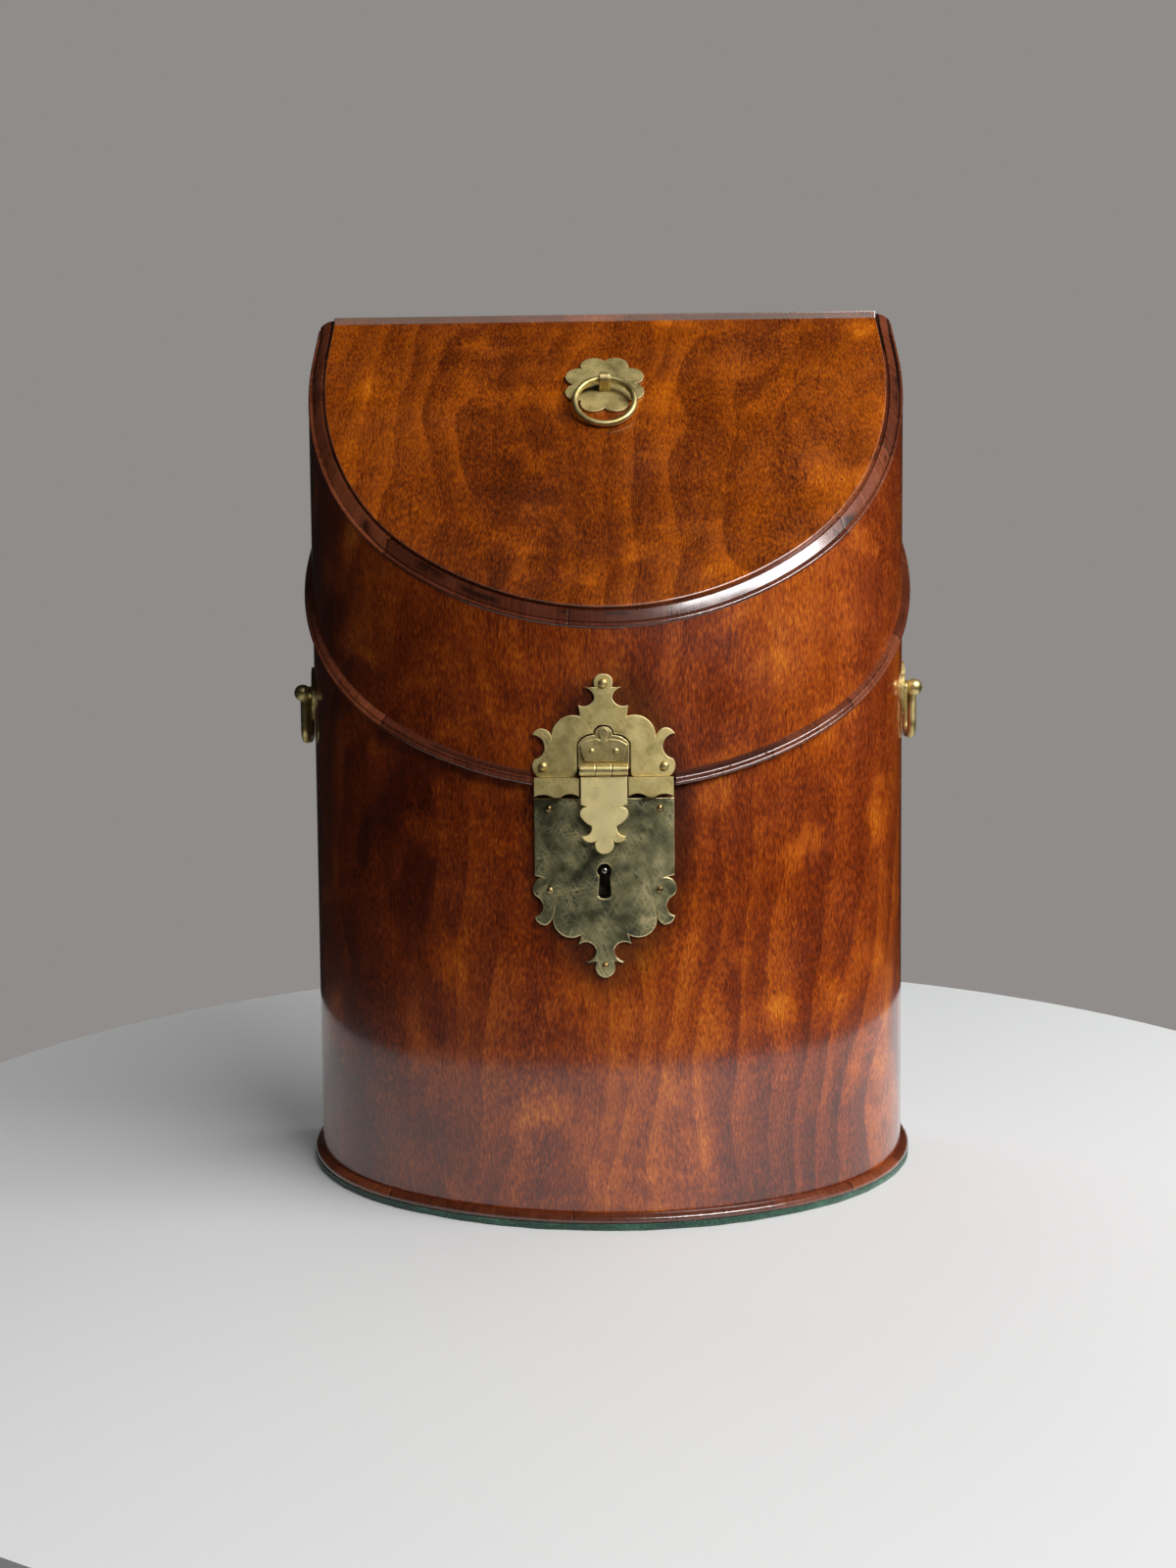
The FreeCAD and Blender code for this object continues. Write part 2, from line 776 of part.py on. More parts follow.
def make_hasp_leaf():
    """Fixed leaf of the hasp hinge with its knob finial and the two outer knuckles."""
    start = (0.0, 14.1 * fret_square_width)
    half = drawn([
        (1.95, 13.4, 3.0, 11.3),
        (6.1, 10.55, 8.4, 8.4),
        (8.4, 0.0),
        (0.0, 0.0),
    ])
    face = outline_face(start, mirrored(start, half), upright(lock_x, front_y - leaf_thickness, knuckle_z))
    leaf = face.extrude(Vector(0, leaf_thickness, 0))
    gap = 2 * pin_clearance
    for side in (-1, 1):
        ends = sorted((lock_x + side * (centre_knuckle_half + gap), lock_x + side * knuckle_half_width))
        barrel = tube_x(ends[0], ends[1], knuckle_y, knuckle_z, knuckle_radius)
        web = block(ends[0], ends[1], knuckle_y, front_y - leaf_thickness / 2,
                    knuckle_z, knuckle_z + knuckle_radius)
        leaf = leaf.fuse([barrel, web])
    bore = tube_x(lock_x - reach, lock_x + reach, knuckle_y, knuckle_z, hasp_pin_radius)
    leaf = leaf.removeSplitter().cut(bore)
    for x, z in rivet_places():
        leaf = leaf.cut(pin_hole(x, z))
    return leaf


def make_rivets():
    """Rivets of the hasp leaf, which end at the wall."""
    rivets = []
    for x, z in rivet_places():
        rivet = round_pin(x, z, lock_pin_head, leaf_thickness + fit_gap)
        rivets.append(rivet.cut(Part.makeCylinder(crown_radius, reach, Vector(0, crown_y, 0))))
    return Part.makeCompound(rivets)


def make_hasp_pin():
    """Pin of the hasp hinge."""
    half = knuckle_half_width
    return tube_x(lock_x - half, lock_x + half, knuckle_y, knuckle_z, hasp_pin_radius)


def hasp_outline():
    """Right half of the hasp flap below the hinge pin, from its top edge to its tip."""
    return (0.0, -2.2 * fret_square_width), drawn([
        (7.6, -2.2),
        (7.6, -11.2),
        (5.8, -12.0),
        (7.8, -13.5, 7.2, -15.8),
        (5.9, -17.2, 4.2, -18.2),
        (4.7, -20.6, 7.3, -21.6),
        (5.2, -23.6, 2.8, -23.2),
        (2.4, -26.4, 0.0, -27.4),
    ])


def make_hasp():
    """Hinged flap of the hasp with its middle knuckle."""
    start, half = hasp_outline()
    front = knuckle_y - hasp_thickness / 4
    face = outline_face(start, mirrored(start, half), upright(lock_x, front, knuckle_z))
    flap = face.extrude(Vector(0, hasp_thickness, 0))
    neck = block(lock_x - centre_knuckle_half, lock_x + centre_knuckle_half, front, front + hasp_thickness,
                 knuckle_z + start[1] - hasp_thickness, knuckle_z)
    barrel = tube_x(lock_x - centre_knuckle_half, lock_x + centre_knuckle_half,
                    knuckle_y, knuckle_z, knuckle_radius)
    bore = tube_x(lock_x - reach, lock_x + reach, knuckle_y, knuckle_z, hasp_pin_radius + pin_clearance)
    return flap.fuse([neck, barrel]).removeSplitter().cut(bore)


def make_hasp_staple():
    """Staple riveted to the back of the hasp, with the eye that the bolt enters."""
    flap_back = knuckle_y + 0.75 * hasp_thickness
    side = staple_thickness / 2
    tip = front_y - plate_thickness + staple_reach
    high = staple_height / 2
    plate = block(lock_x - side, lock_x + side, flap_back, tip, staple_z - high, staple_z + high)
    near, far = bolt_y()
    room = 2 * bolt_gap
    eye = block(lock_x - reach, lock_x + reach, near - room, far + room,
                staple_z - bolt_nose_height / 2 - room, staple_z + bolt_nose_height / 2 + room)
    return plate.cut(eye)


# Lid hinges

def hinge_axis():
    """Point on the hinge line, on the slanting parting plane carried out behind the back."""
    middle = (parting_height + lid_bottom_height) / 2
    return Vector(0, back_y + hinge_offset, slope_z(middle, parting_angle, back_y + hinge_offset))


def on_parting(shape):
    """Place a shape drawn with X along the hinge, -Y down the parting plane and Z square to it."""
    placed = shape.copy()
    tilt = Placement(hinge_axis(), Rotation(Vector(1, 0, 0), parting_angle))
    placed.Placement = tilt.multiply(placed.Placement)
    return placed


def hinge_centres():
    """Middles of the two hinges."""
    return (-hinge_spacing / 2, hinge_spacing / 2)


def leaf_levels(side):
    """Low and high faces of a leaf: side is 1 for the lid leaf and -1 for the carcase leaf."""
    return sorted((side * hinge_gap / 2, side * (hinge_gap / 2 + hinge_leaf)))


def hinge_pockets(side):
    """Recesses for the leaves on one side of the parting plane."""
    depth = hinge_gap / 2 + hinge_leaf + hinge_gap
    low, high = sorted((side * depth, -side * depth))
    grow = hinge_length / 2 + hinge_gap
    end = hinge_leaf_reach + hinge_gap
    pockets = [block(x - grow, x + grow, -end, end, low, high) for x in hinge_centres()]
    return Part.makeCompound([on_parting(pocket) for pocket in pockets])


def knuckle_spans(side):
    """Spans of the hinge barrels: the carcase leaf has the outer two, the lid leaf the middle one."""
    third = hinge_length / 6
    if side > 0:
        return [(hinge_end_gap - third, third - hinge_end_gap)]
    return [(-hinge_length / 2, -third), (third, hinge_length / 2)]


def make_hinge_leaves(side):
    """Pair of brass hinge leaves with their knuckles."""
    low, high = leaf_levels(side)
    clear = hinge_knuckle + 2 * hinge_end_gap
    bore = hinge_pin_radius + (pin_clearance if side > 0 else 0.0)
    leaves = []
    for x in hinge_centres():
        leaf = block(x - hinge_length / 2, x + hinge_length / 2, -hinge_leaf_reach, -clear, low, high)
        for start, end in knuckle_spans(side):
            root = block(x + start, x + end, -clear - hinge_leaf, 0.0, low, high)
            leaf = leaf.fuse([root, tube_x(x + start, x + end, 0.0, 0.0, hinge_knuckle)])
        leaf = leaf.removeSplitter().cut(tube_x(x - reach, x + reach, 0.0, 0.0, bore))
        leaves.append(on_parting(leaf))
    return Part.makeCompound(leaves)


def make_hinge_pins():
    """Pins of the two lid hinges."""
    half = hinge_length / 2
    return Part.makeCompound([on_parting(tube_x(x - half, x + half, 0.0, 0.0, hinge_pin_radius))
                              for x in hinge_centres()])


# Ring pull

def on_panel(shape):
    """Place a shape drawn flat, with Y up the slope and Z square to the panel, at the ring's rosette."""
    y = back_y - ring_back_offset
    lift = panel_rise / math.cos(math.radians(lid_angle))
    placed = shape.copy()
    base = Vector(0, y, slope_z(lid_edge_height + lift, lid_angle, y))
    placed.Placement = Placement(base, Rotation(Vector(1, 0, 0), lid_angle)).multiply(placed.Placement)
    return placed


def make_rosette():
    """Scalloped back plate of the ring."""
    plate = Part.makeCylinder(rosette_core, rosette_thickness)
    lobes = []
    for index in range(rosette_lobes):
        turn = 2 * math.pi * (index + 0.5) / rosette_lobes
        x = (rosette_half_width - rosette_lobe) * math.cos(turn) / math.cos(math.pi / rosette_lobes)
        y = (rosette_half_height - rosette_lobe) * math.sin(turn) / math.cos(math.pi / rosette_lobes)
        lobes.append(Part.makeCylinder(rosette_lobe, rosette_thickness, Vector(x, y, 0)))
    return on_panel(plate.fuse(lobes).removeSplitter())


def make_ring_staple():
    """Arched strap that holds the ring to its rosette."""
    high = ring_pivot_height
    arch = staple_arch
    steps = [
        (arch, high),
        (0.0, high + arch, -arch, high),
        (-arch, rosette_thickness),
        (arch, rosette_thickness),
    ]
    half = staple_width / 2
    face = outline_face((arch, rosette_thickness), steps,
                        lambda point: Vector(-half, ring_pivot_shift + point[0], point[1]))
    strap = face.extrude(Vector(staple_width, 0, 0))
    bore = tube_x(-reach, reach, ring_pivot_shift, high, ring_wire + staple_bore_gap)
    return on_panel(strap.cut(bore))


def make_ring():
    """Brass ring hanging through its staple, with its low side just clear of the panel."""
    droop = math.degrees(math.asin((ring_pivot_height - ring_wire - ring_rest_gap) / (2 * ring_radius)))
    ring = Part.makeTorus(ring_radius, ring_wire)
    ring.translate(Vector(0, -ring_radius, 0))
    ring.rotate(Vector(0, 0, 0), Vector(1, 0, 0), droop)
    ring.translate(Vector(0, ring_pivot_shift, ring_pivot_height))
    return on_panel(ring)


# Side handles, drawn for the right side with X outwards, and mirrored for the left

def at_side(shape, side):
    """Place a handle piece square to the rounded corner of the body, on the right or the left."""
    turn = math.radians(handle_turn)
    base = Vector(corner_x + corner_radius * math.cos(turn), handle_y, handle_height)
    placed = shape.copy()
    placed.Placement = Placement(base, Rotation(Vector(0, 0, 1), -handle_turn)).multiply(placed.Placement)
    return placed if side > 0 else placed.mirror(Vector(0, 0, 0), Vector(1, 0, 0))


def corner_shell(standoff, thickness):
    """Shell that follows the rounded corner of the body, drawn at the handle."""
    high = 4 * handle_plate_rise
    centre = Vector(-corner_radius, 0, -high / 2)
    outer = Part.makeCylinder(corner_radius + standoff + thickness, high, centre)
    return outer.cut(Part.makeCylinder(corner_radius + standoff, high, centre))


def make_handle_plate(side):
    """Lobed back plate of a handle, bent to the side of the body."""
    across = Vector(1, 0, 0)
    start = Vector(-stud_spacing / 2, 0, 0)
    middle = Part.makeCylinder(handle_plate_rise, stud_spacing, start, across)
    ends = [Part.makeCylinder(handle_plate_lobe, stud_spacing, start + Vector(0, y, 0), across)
            for y in (-stud_spacing / 2, stud_spacing / 2)]
    plate = middle.fuse(ends).common(corner_shell(0.0, handle_plate))
    for y in (-stud_spacing / 2, stud_spacing / 2):
        plate = plate.cut(Part.makeCylinder(stud_shank, stud_spacing, start + Vector(0, y, 0), across))
    return at_side(plate, side).cut(plan_prism(0.0, back_y, 0.0, parting_height))


def stud_holes():
    """Holes in the wall for the shanks of all four studs."""
    holes = []
    start = Vector(-stud_depth - wall / 4, 0, 0)
    for side in (-1, 1):
        for y in (-stud_spacing / 2, stud_spacing / 2):
            hole = Part.makeCylinder(stud_shank, stud_depth + wall, start + Vector(0, y, 0), Vector(1, 0, 0))
            holes.append(at_side(hole, side))
    return Part.makeCompound(holes)


def make_studs(side):
    """Two ball studs of a handle, bored for the ends of the bail."""
    start = Vector(-stud_depth - wall / 4, 0, 0)
    span = stud_spacing + stud_ball
    start_bore = Vector(stud_reach, -span / 2, 0)
    bore = Part.makeCylinder(bail_wire + bail_clearance, span, start_bore, Vector(0, 1, 0))
    studs = []
    for y in (-stud_spacing / 2, stud_spacing / 2):
        place = Vector(0, y, 0)
        neck = Part.makeCylinder(stud_neck, stud_reach, place, Vector(1, 0, 0))
        neck = neck.fuse(Part.makeSphere(stud_ball, place + Vector(stud_reach, 0, 0)))
        neck = neck.cut(Part.makeCylinder(corner_radius + handle_plate, 2 * stud_spacing,
                                          Vector(-corner_radius, 0, -stud_spacing)))
        shank = Part.makeCylinder(stud_shank, stud_reach - start.x, start + place, Vector(1, 0, 0))
        studs.append(at_side(neck.fuse(shank).removeSplitter().cut(bore), side))
    return Part.makeCompound(studs)


def make_bail(side):
    """Drop handle hanging straight down from its two studs."""
    inner = stud_spacing / 2 - stud_ball - bail_bend - 2 * bail_clearance
    tip = (stud_spacing + stud_ball) / 2 - bail_clearance
    turn = bail_bend * (1 - math.sqrt(0.5))
    corner = bail_corner * (1 - math.sqrt(0.5))
    low = -bail_drop
    start = (-tip, 0.0)
    half = [
        (-inner - bail_bend, 0.0),
        (-inner - turn, -turn, -inner, -bail_bend),
        (-inner, low + bail_corner),
        (corner - inner, low + corner, bail_corner - inner, low),
    ]
    back = [
        (inner - bail_corner, low),
        (inner - corner, low + corner, inner, low + bail_corner),
        (inner, -bail_bend),
        (inner + turn, -turn, inner + bail_bend, 0.0),
        (tip, 0.0),
    ]
    path = Part.Wire(trace(start, half + back, lambda point: Vector(stud_reach, point[0], point[1])))
    ring = Part.Circle(Vector(stud_reach, -tip, 0), Vector(0, 1, 0), bail_wire).toShape()
    return at_side(path.makePipeShell([Part.Wire([ring])], True, False), side)


def make_all():
    """Every node of the box by name."""
    return {
        "bow_wall": make_bow_wall(),
        "back_board": make_back_board(),
        "bottom_board": make_bottom(),
        "base_bead": make_base_bead(),
        "baize_foot": make_baize(),
        "tier_back": make_tier(0),
        "tier_middle": make_tier(1),
        "tier_front": make_tier(2),
        "riser_upper": make_riser(0),
        "riser_lower": make_riser(1),
        "tier_ledges": make_ledges(),
        "lock_plate": make_lock_plate(),
        "lock_plate_pins": make_lock_plate_pins(),
        "lock_case": make_lock_case(),
        "key_post": make_key_post(),
        "lock_bolt": make_lock_bolt(),
        "bolt_spring": make_bolt_spring(),
        "lid_wall": make_lid_wall(),
        "lid_back_board": make_lid_back_board(),
        "lid_panel": make_lid_panel(),
        "lid_moulding": make_lid_moulding(),
        "rim_bead": make_rim_bead(),
        "upper_plate": make_upper_plate(),
        "upper_plate_pins": make_upper_plate_pins(),
        "rim_straps": make_straps(),
        "hasp_leaf": make_hasp_leaf(),
        "hasp_leaf_rivets": make_rivets(),
        "hasp_pin": make_hasp_pin(),
        "hasp_flap": make_hasp(),
        "hasp_staple": make_hasp_staple(),
        "lower_hinge_leaves": make_hinge_leaves(-1),
        "upper_hinge_leaves": make_hinge_leaves(1),
        "hinge_pins": make_hinge_pins(),
        "ring_rosette": make_rosette(),
        "ring_staple": make_ring_staple(),
        "pull_ring": make_ring(),
        "handle_plate_left": make_handle_plate(-1),
        "handle_plate_right": make_handle_plate(1),
        "handle_studs_left": make_studs(-1),
        "handle_studs_right": make_studs(1),
        "handle_bail_left": make_bail(-1),
        "handle_bail_right": make_bail(1),
    }


os.makedirs("parts", exist_ok=True)
for name, shape in make_all().items():
    shape.exportStep("parts/%s.step" % name)
    print(name, len(shape.Solids), round(shape.Volume, 1), shape.isValid())
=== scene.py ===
"""Finishes of a bow-fronted mahogany cutlery box: wood, brass, cloth, light and camera."""
import logging
import math
from collections.abc import Callable, Iterator
from contextlib import contextmanager
from dataclasses import dataclass, field
from enum import Enum
from functools import partial

import bpy
from mathutils import Matrix, Vector, noise


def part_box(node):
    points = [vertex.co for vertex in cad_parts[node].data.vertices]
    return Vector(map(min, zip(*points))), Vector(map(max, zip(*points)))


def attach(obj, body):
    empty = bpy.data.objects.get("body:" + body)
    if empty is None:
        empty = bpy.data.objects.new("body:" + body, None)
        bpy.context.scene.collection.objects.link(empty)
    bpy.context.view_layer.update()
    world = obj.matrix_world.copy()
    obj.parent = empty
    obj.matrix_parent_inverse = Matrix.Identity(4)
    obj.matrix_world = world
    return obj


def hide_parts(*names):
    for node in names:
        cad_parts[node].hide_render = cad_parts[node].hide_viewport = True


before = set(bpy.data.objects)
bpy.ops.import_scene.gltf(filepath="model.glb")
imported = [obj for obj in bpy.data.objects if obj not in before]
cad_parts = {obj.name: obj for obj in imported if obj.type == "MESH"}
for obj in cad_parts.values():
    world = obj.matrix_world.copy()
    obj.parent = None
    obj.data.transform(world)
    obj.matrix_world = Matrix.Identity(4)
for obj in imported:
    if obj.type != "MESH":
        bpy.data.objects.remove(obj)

log = logging.getLogger("cutlery_box")
logging.basicConfig(level=logging.INFO, format="%(message)s")

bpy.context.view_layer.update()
MM = 0.001
MERGE_MM = 0.002
FLAT_DEGREES = 0.3
EASED_DEGREES = 20.0
Pair = tuple[float, float]
Triple = tuple[float, float, float]
Colour = tuple[float, float, float, float]
Node = bpy.types.Node
Tree = bpy.types.NodeTree
Socket = bpy.types.NodeSocket
Adder = Callable[..., Node]
Material = bpy.types.Material
Piece = bpy.types.Object


class Slot(Enum):
    """Material slots of the record."""

    MAHOGANY = "mahogany"
    FIGURED = "figured_mahogany"
    CROSS_GRAIN = "cross_grain"
    INTERIOR = "interior_wood"
    BAIZE = "baize"
    PLATE_BRASS = "plate_brass"
    WORN_BRASS = "worn_brass"
    STEEL = "steel"


class Body(Enum):
    """Moving bodies that carry new pieces."""

    CARCASE = "carcase"
    LID = "lid"
    HASP = "hasp"


def linear(code: str) -> Colour:
    """Turns an sRGB hex colour to linear light.

    Args:
        code: six hex digits after a hash sign.

    Returns:
        Linear red, green and blue, and full alpha.
    """
    parts = [int(code[i:i + 2], 16) / 255 for i in (1, 3, 5)]
    light = [c / 12.92 if c <= 0.04045 else ((c + 0.055) / 1.055) ** 2.4 for c in parts]
    return (light[0], light[1], light[2], 1.0)


def add_node(tree: Tree, kind: str, settings: dict | None = None, links: dict | None = None) -> Node:
    """Adds one shader node with its settings and links.

    Args:
        tree: node tree of a material or world.
        kind: node type without its ShaderNode prefix.
        settings: properties by name, sockets by name or number, ramp stops under "stops" and
            the bounds of a map range under "range".
        links: output sockets, or nodes for their first output, by the input that they feed.

    Returns:
        The new node.
    """
    node = tree.nodes.new("ShaderNode" + kind)
    for key, value in (settings or {}).items():
        if key == "stops":
            ramp = node.color_ramp.elements
            while len(ramp) < len(value):
                ramp.new(0.5)
            for stop, (place, shade) in zip(ramp, value):
                stop.position = place
                stop.color = linear(shade)
        elif key == "range":
            for socket, bound in zip(node.inputs[1:], value):
                socket.default_value = bound
        elif isinstance(key, int) or not hasattr(node, key):
            node.inputs[key].default_value = value
        else:
            setattr(node, key, value)
    for key, source in (links or {}).items():
        tree.links.new(source.outputs[0] if isinstance(source, Node) else source, node.inputs[key])
    return node


def new_tree(name: str) -> tuple[Material, Tree]:
    """Makes an empty node material.

    Args:
        name: name of the material.

    Returns:
        The material and its node tree.
    """
    material = bpy.data.materials.new(name)
    material.use_nodes = True
    material.node_tree.nodes.clear()
    return material, material.node_tree


def deselect() -> None:
    """Leaves edit mode and deselects everything."""
    if bpy.context.object and bpy.context.object.mode != "OBJECT":
        bpy.ops.object.mode_set(mode="OBJECT")
    bpy.ops.object.select_all(action="DESELECT")


def activate(piece: Piece) -> None:
    """Makes one object the only selected and active one.

    Args:
        piece: the object.
    """
    deselect()
    piece.select_set(True)
    bpy.context.view_layer.objects.active = piece


@contextmanager
def editing(piece: Piece) -> Iterator[None]:
    """Opens a piece in edit mode with everything selected, and leaves edit mode at the end.

    Args:
        piece: object with a mesh.
    """
    activate(piece)
    bpy.ops.object.mode_set(mode="EDIT")
    bpy.ops.mesh.select_all(action="SELECT")
    yield
    bpy.ops.object.mode_set(mode="OBJECT")


def smooth(piece: Piece, degrees: float) -> None:
    """Shades a piece smooth except across edges sharper than an angle."""
    activate(piece)
    bpy.ops.object.shade_smooth_by_angle(angle=math.radians(degrees))


def dress(piece: Piece, finish: Material) -> None:
    """Gives a whole piece one material."""
    piece.data.materials.clear()
    piece.data.materials.append(finish)


def seat(piece: Piece, body: Body, slot: Slot, *nodes: str) -> None:
    """Fixes a piece to its body and hides the nodes it stands for.

    Args:
        piece: finished piece.
        body: body that carries it.
        slot: material slot of the record; not used.
        nodes: CAD nodes that it replaces.
    """
    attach(piece, body.value)
    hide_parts(*nodes)
    log.info("%s: %d faces on %s", piece.name, len(piece.data.polygons), body.value)


def arc_points(start: Pair, via: Pair, end: Pair, step: float) -> list[Pair]:
    """Samples a circular arc through three points.

    Args:
        start: first point, left out of the result.
        via: a point on the arc.
        end: last point.
        step: greatest distance between samples.

    Returns:
        Points along the arc, the end included.
    """
    (ax, ay), (bx, by), (cx, cy) = start, via, end
    d = 2 * (ax * (by - cy) + bx * (cy - ay) + cx * (ay - by))
    if abs(d) < 1e-9:
        return [end]
    a2, b2, c2 = ax * ax + ay * ay, bx * bx + by * by, cx * cx + cy * cy
    ox = (a2 * (by - cy) + b2 * (cy - ay) + c2 * (ay - by)) / d
    oy = (a2 * (cx - bx) + b2 * (ax - cx) + c2 * (bx - ax)) / d
    radius = math.hypot(ax - ox, ay - oy)
    a0 = math.atan2(ay - oy, ax - ox)
    turn = 2 * math.pi
    to_via = (math.atan2(by - oy, bx - ox) - a0) % turn
    to_end = (math.atan2(cy - oy, cx - ox) - a0) % turn
    sweep = to_end if to_via <= to_end else to_end - turn
    count = max(2, math.ceil(abs(sweep) * radius / step))
    angles = [a0 + sweep * i / count for i in range(1, count + 1)]
    return [(ox + radius * math.cos(a), oy + radius * math.sin(a)) for a in angles]


def mirrored(start: Pair, steps: list[tuple[float, ...]], step: float = 0.35) -> list[Pair]:
    """Draws a closed outline from its right half.

    Args:
        start: first point, on the middle line.
        steps: a pair for a line to it, four numbers for an arc by way of the first two.
        step: greatest distance between samples of an arc.

    Returns:
        Points round the whole outline, in millimetres.
    """
    half = [start]
    for move in steps:
        if len(move) == 2:
            half.append((move[0], move[1]))
        else:
            half += arc_points(half[-1], (move[0], move[1]), (move[2], move[3]), step)
    left = [(-x, y) for x, y in reversed(half) if abs(x) > 1e-6]
    return half + left


@dataclass(frozen=True)
class BowPlan:
    """Plan of the box, in mm: a wide crown arc between two corner arcs and short straight returns."""

    back_y: float = 54.0
    half_width: float = 115.0
    corner_radius: float = 89.0
    corner_x: float = 26.0
    corner_y: float = 42.5
    crown_radius: float = 137.8
    crown_y: float = 83.8

    def front_y(self, x: float, out: float = 0.0) -> float:
        """Gives the depth of the crown arc.

        Args:
            x: distance from the middle, in mm.
            out: distance outside the wood's face, in mm.

        Returns:
            The y of that point, in mm.
        """
        return self.crown_y - math.sqrt((self.crown_radius + out) ** 2 - x * x)

    def depth(self, x: float, y: float) -> float:
        """Measures how far inside the outline a point lies.

        Args:
            x: place from left to right, in mm.
            y: depth, in mm.

        Returns:
            Distance inside the outline in mm, negative outside it.
        """
        seam = math.atan2(self.corner_x, self.crown_y - self.corner_y)
        side = abs(x)
        if y < self.crown_y and math.atan2(side, self.crown_y - y) <= seam:
            return self.crown_radius - math.hypot(x, self.crown_y - y)
        if y < self.corner_y:
            return self.corner_radius - math.hypot(side - self.corner_x, self.corner_y - y)
        return self.half_width - side

    def run(self, x: float, y: float) -> float:
        """Measures how far round the outline a point lies.

        Args:
            x: place from left to right, in mm.
            y: depth, in mm.

        Returns:
            Length along the outline from the middle of the front, positive to the right, in mm.
        """
        seam = math.atan2(self.corner_x, self.crown_y - self.corner_y)
        side = abs(x)
        crown = math.atan2(side, self.crown_y - y)
        if crown <= seam and y < self.crown_y:
            length = crown * self.crown_radius
        elif y < self.corner_y:
            bend = math.atan2(side - self.corner_x, self.corner_y - y)
            length = seam * self.crown_radius + (bend - seam) * self.corner_radius
        else:
            quarter = (math.pi / 2 - seam) * self.corner_radius
            length = seam * self.crown_radius + quarter + y - self.corner_y
        return math.copysign(length, x)


PLAN = BowPlan()


@dataclass(frozen=True)
class Finish:
    """A material of the box; each kind draws its own surface.

    A field that ends in _mm is a real size, and every pattern lies on Object coordinates.
    """

    name: str

    def material(self) -> Material:
        """Builds the node material.

        Returns:
            The material.
        """
        material, tree = new_tree(self.name)
        shader = self.surface(partial(add_node, tree), add_node(tree, "TexCoord").outputs["Object"])
        add_node(tree, "OutputMaterial", None, {"Surface": shader})
        return material

    def surface(self, add: Adder, place: Socket) -> Node:
        """Draws the surface.

        Args:
            add: add_node for the tree of the material.
            place: Object coordinates, in metres.

        Returns:
            The shader.
        """
        raise NotImplementedError(self.name)


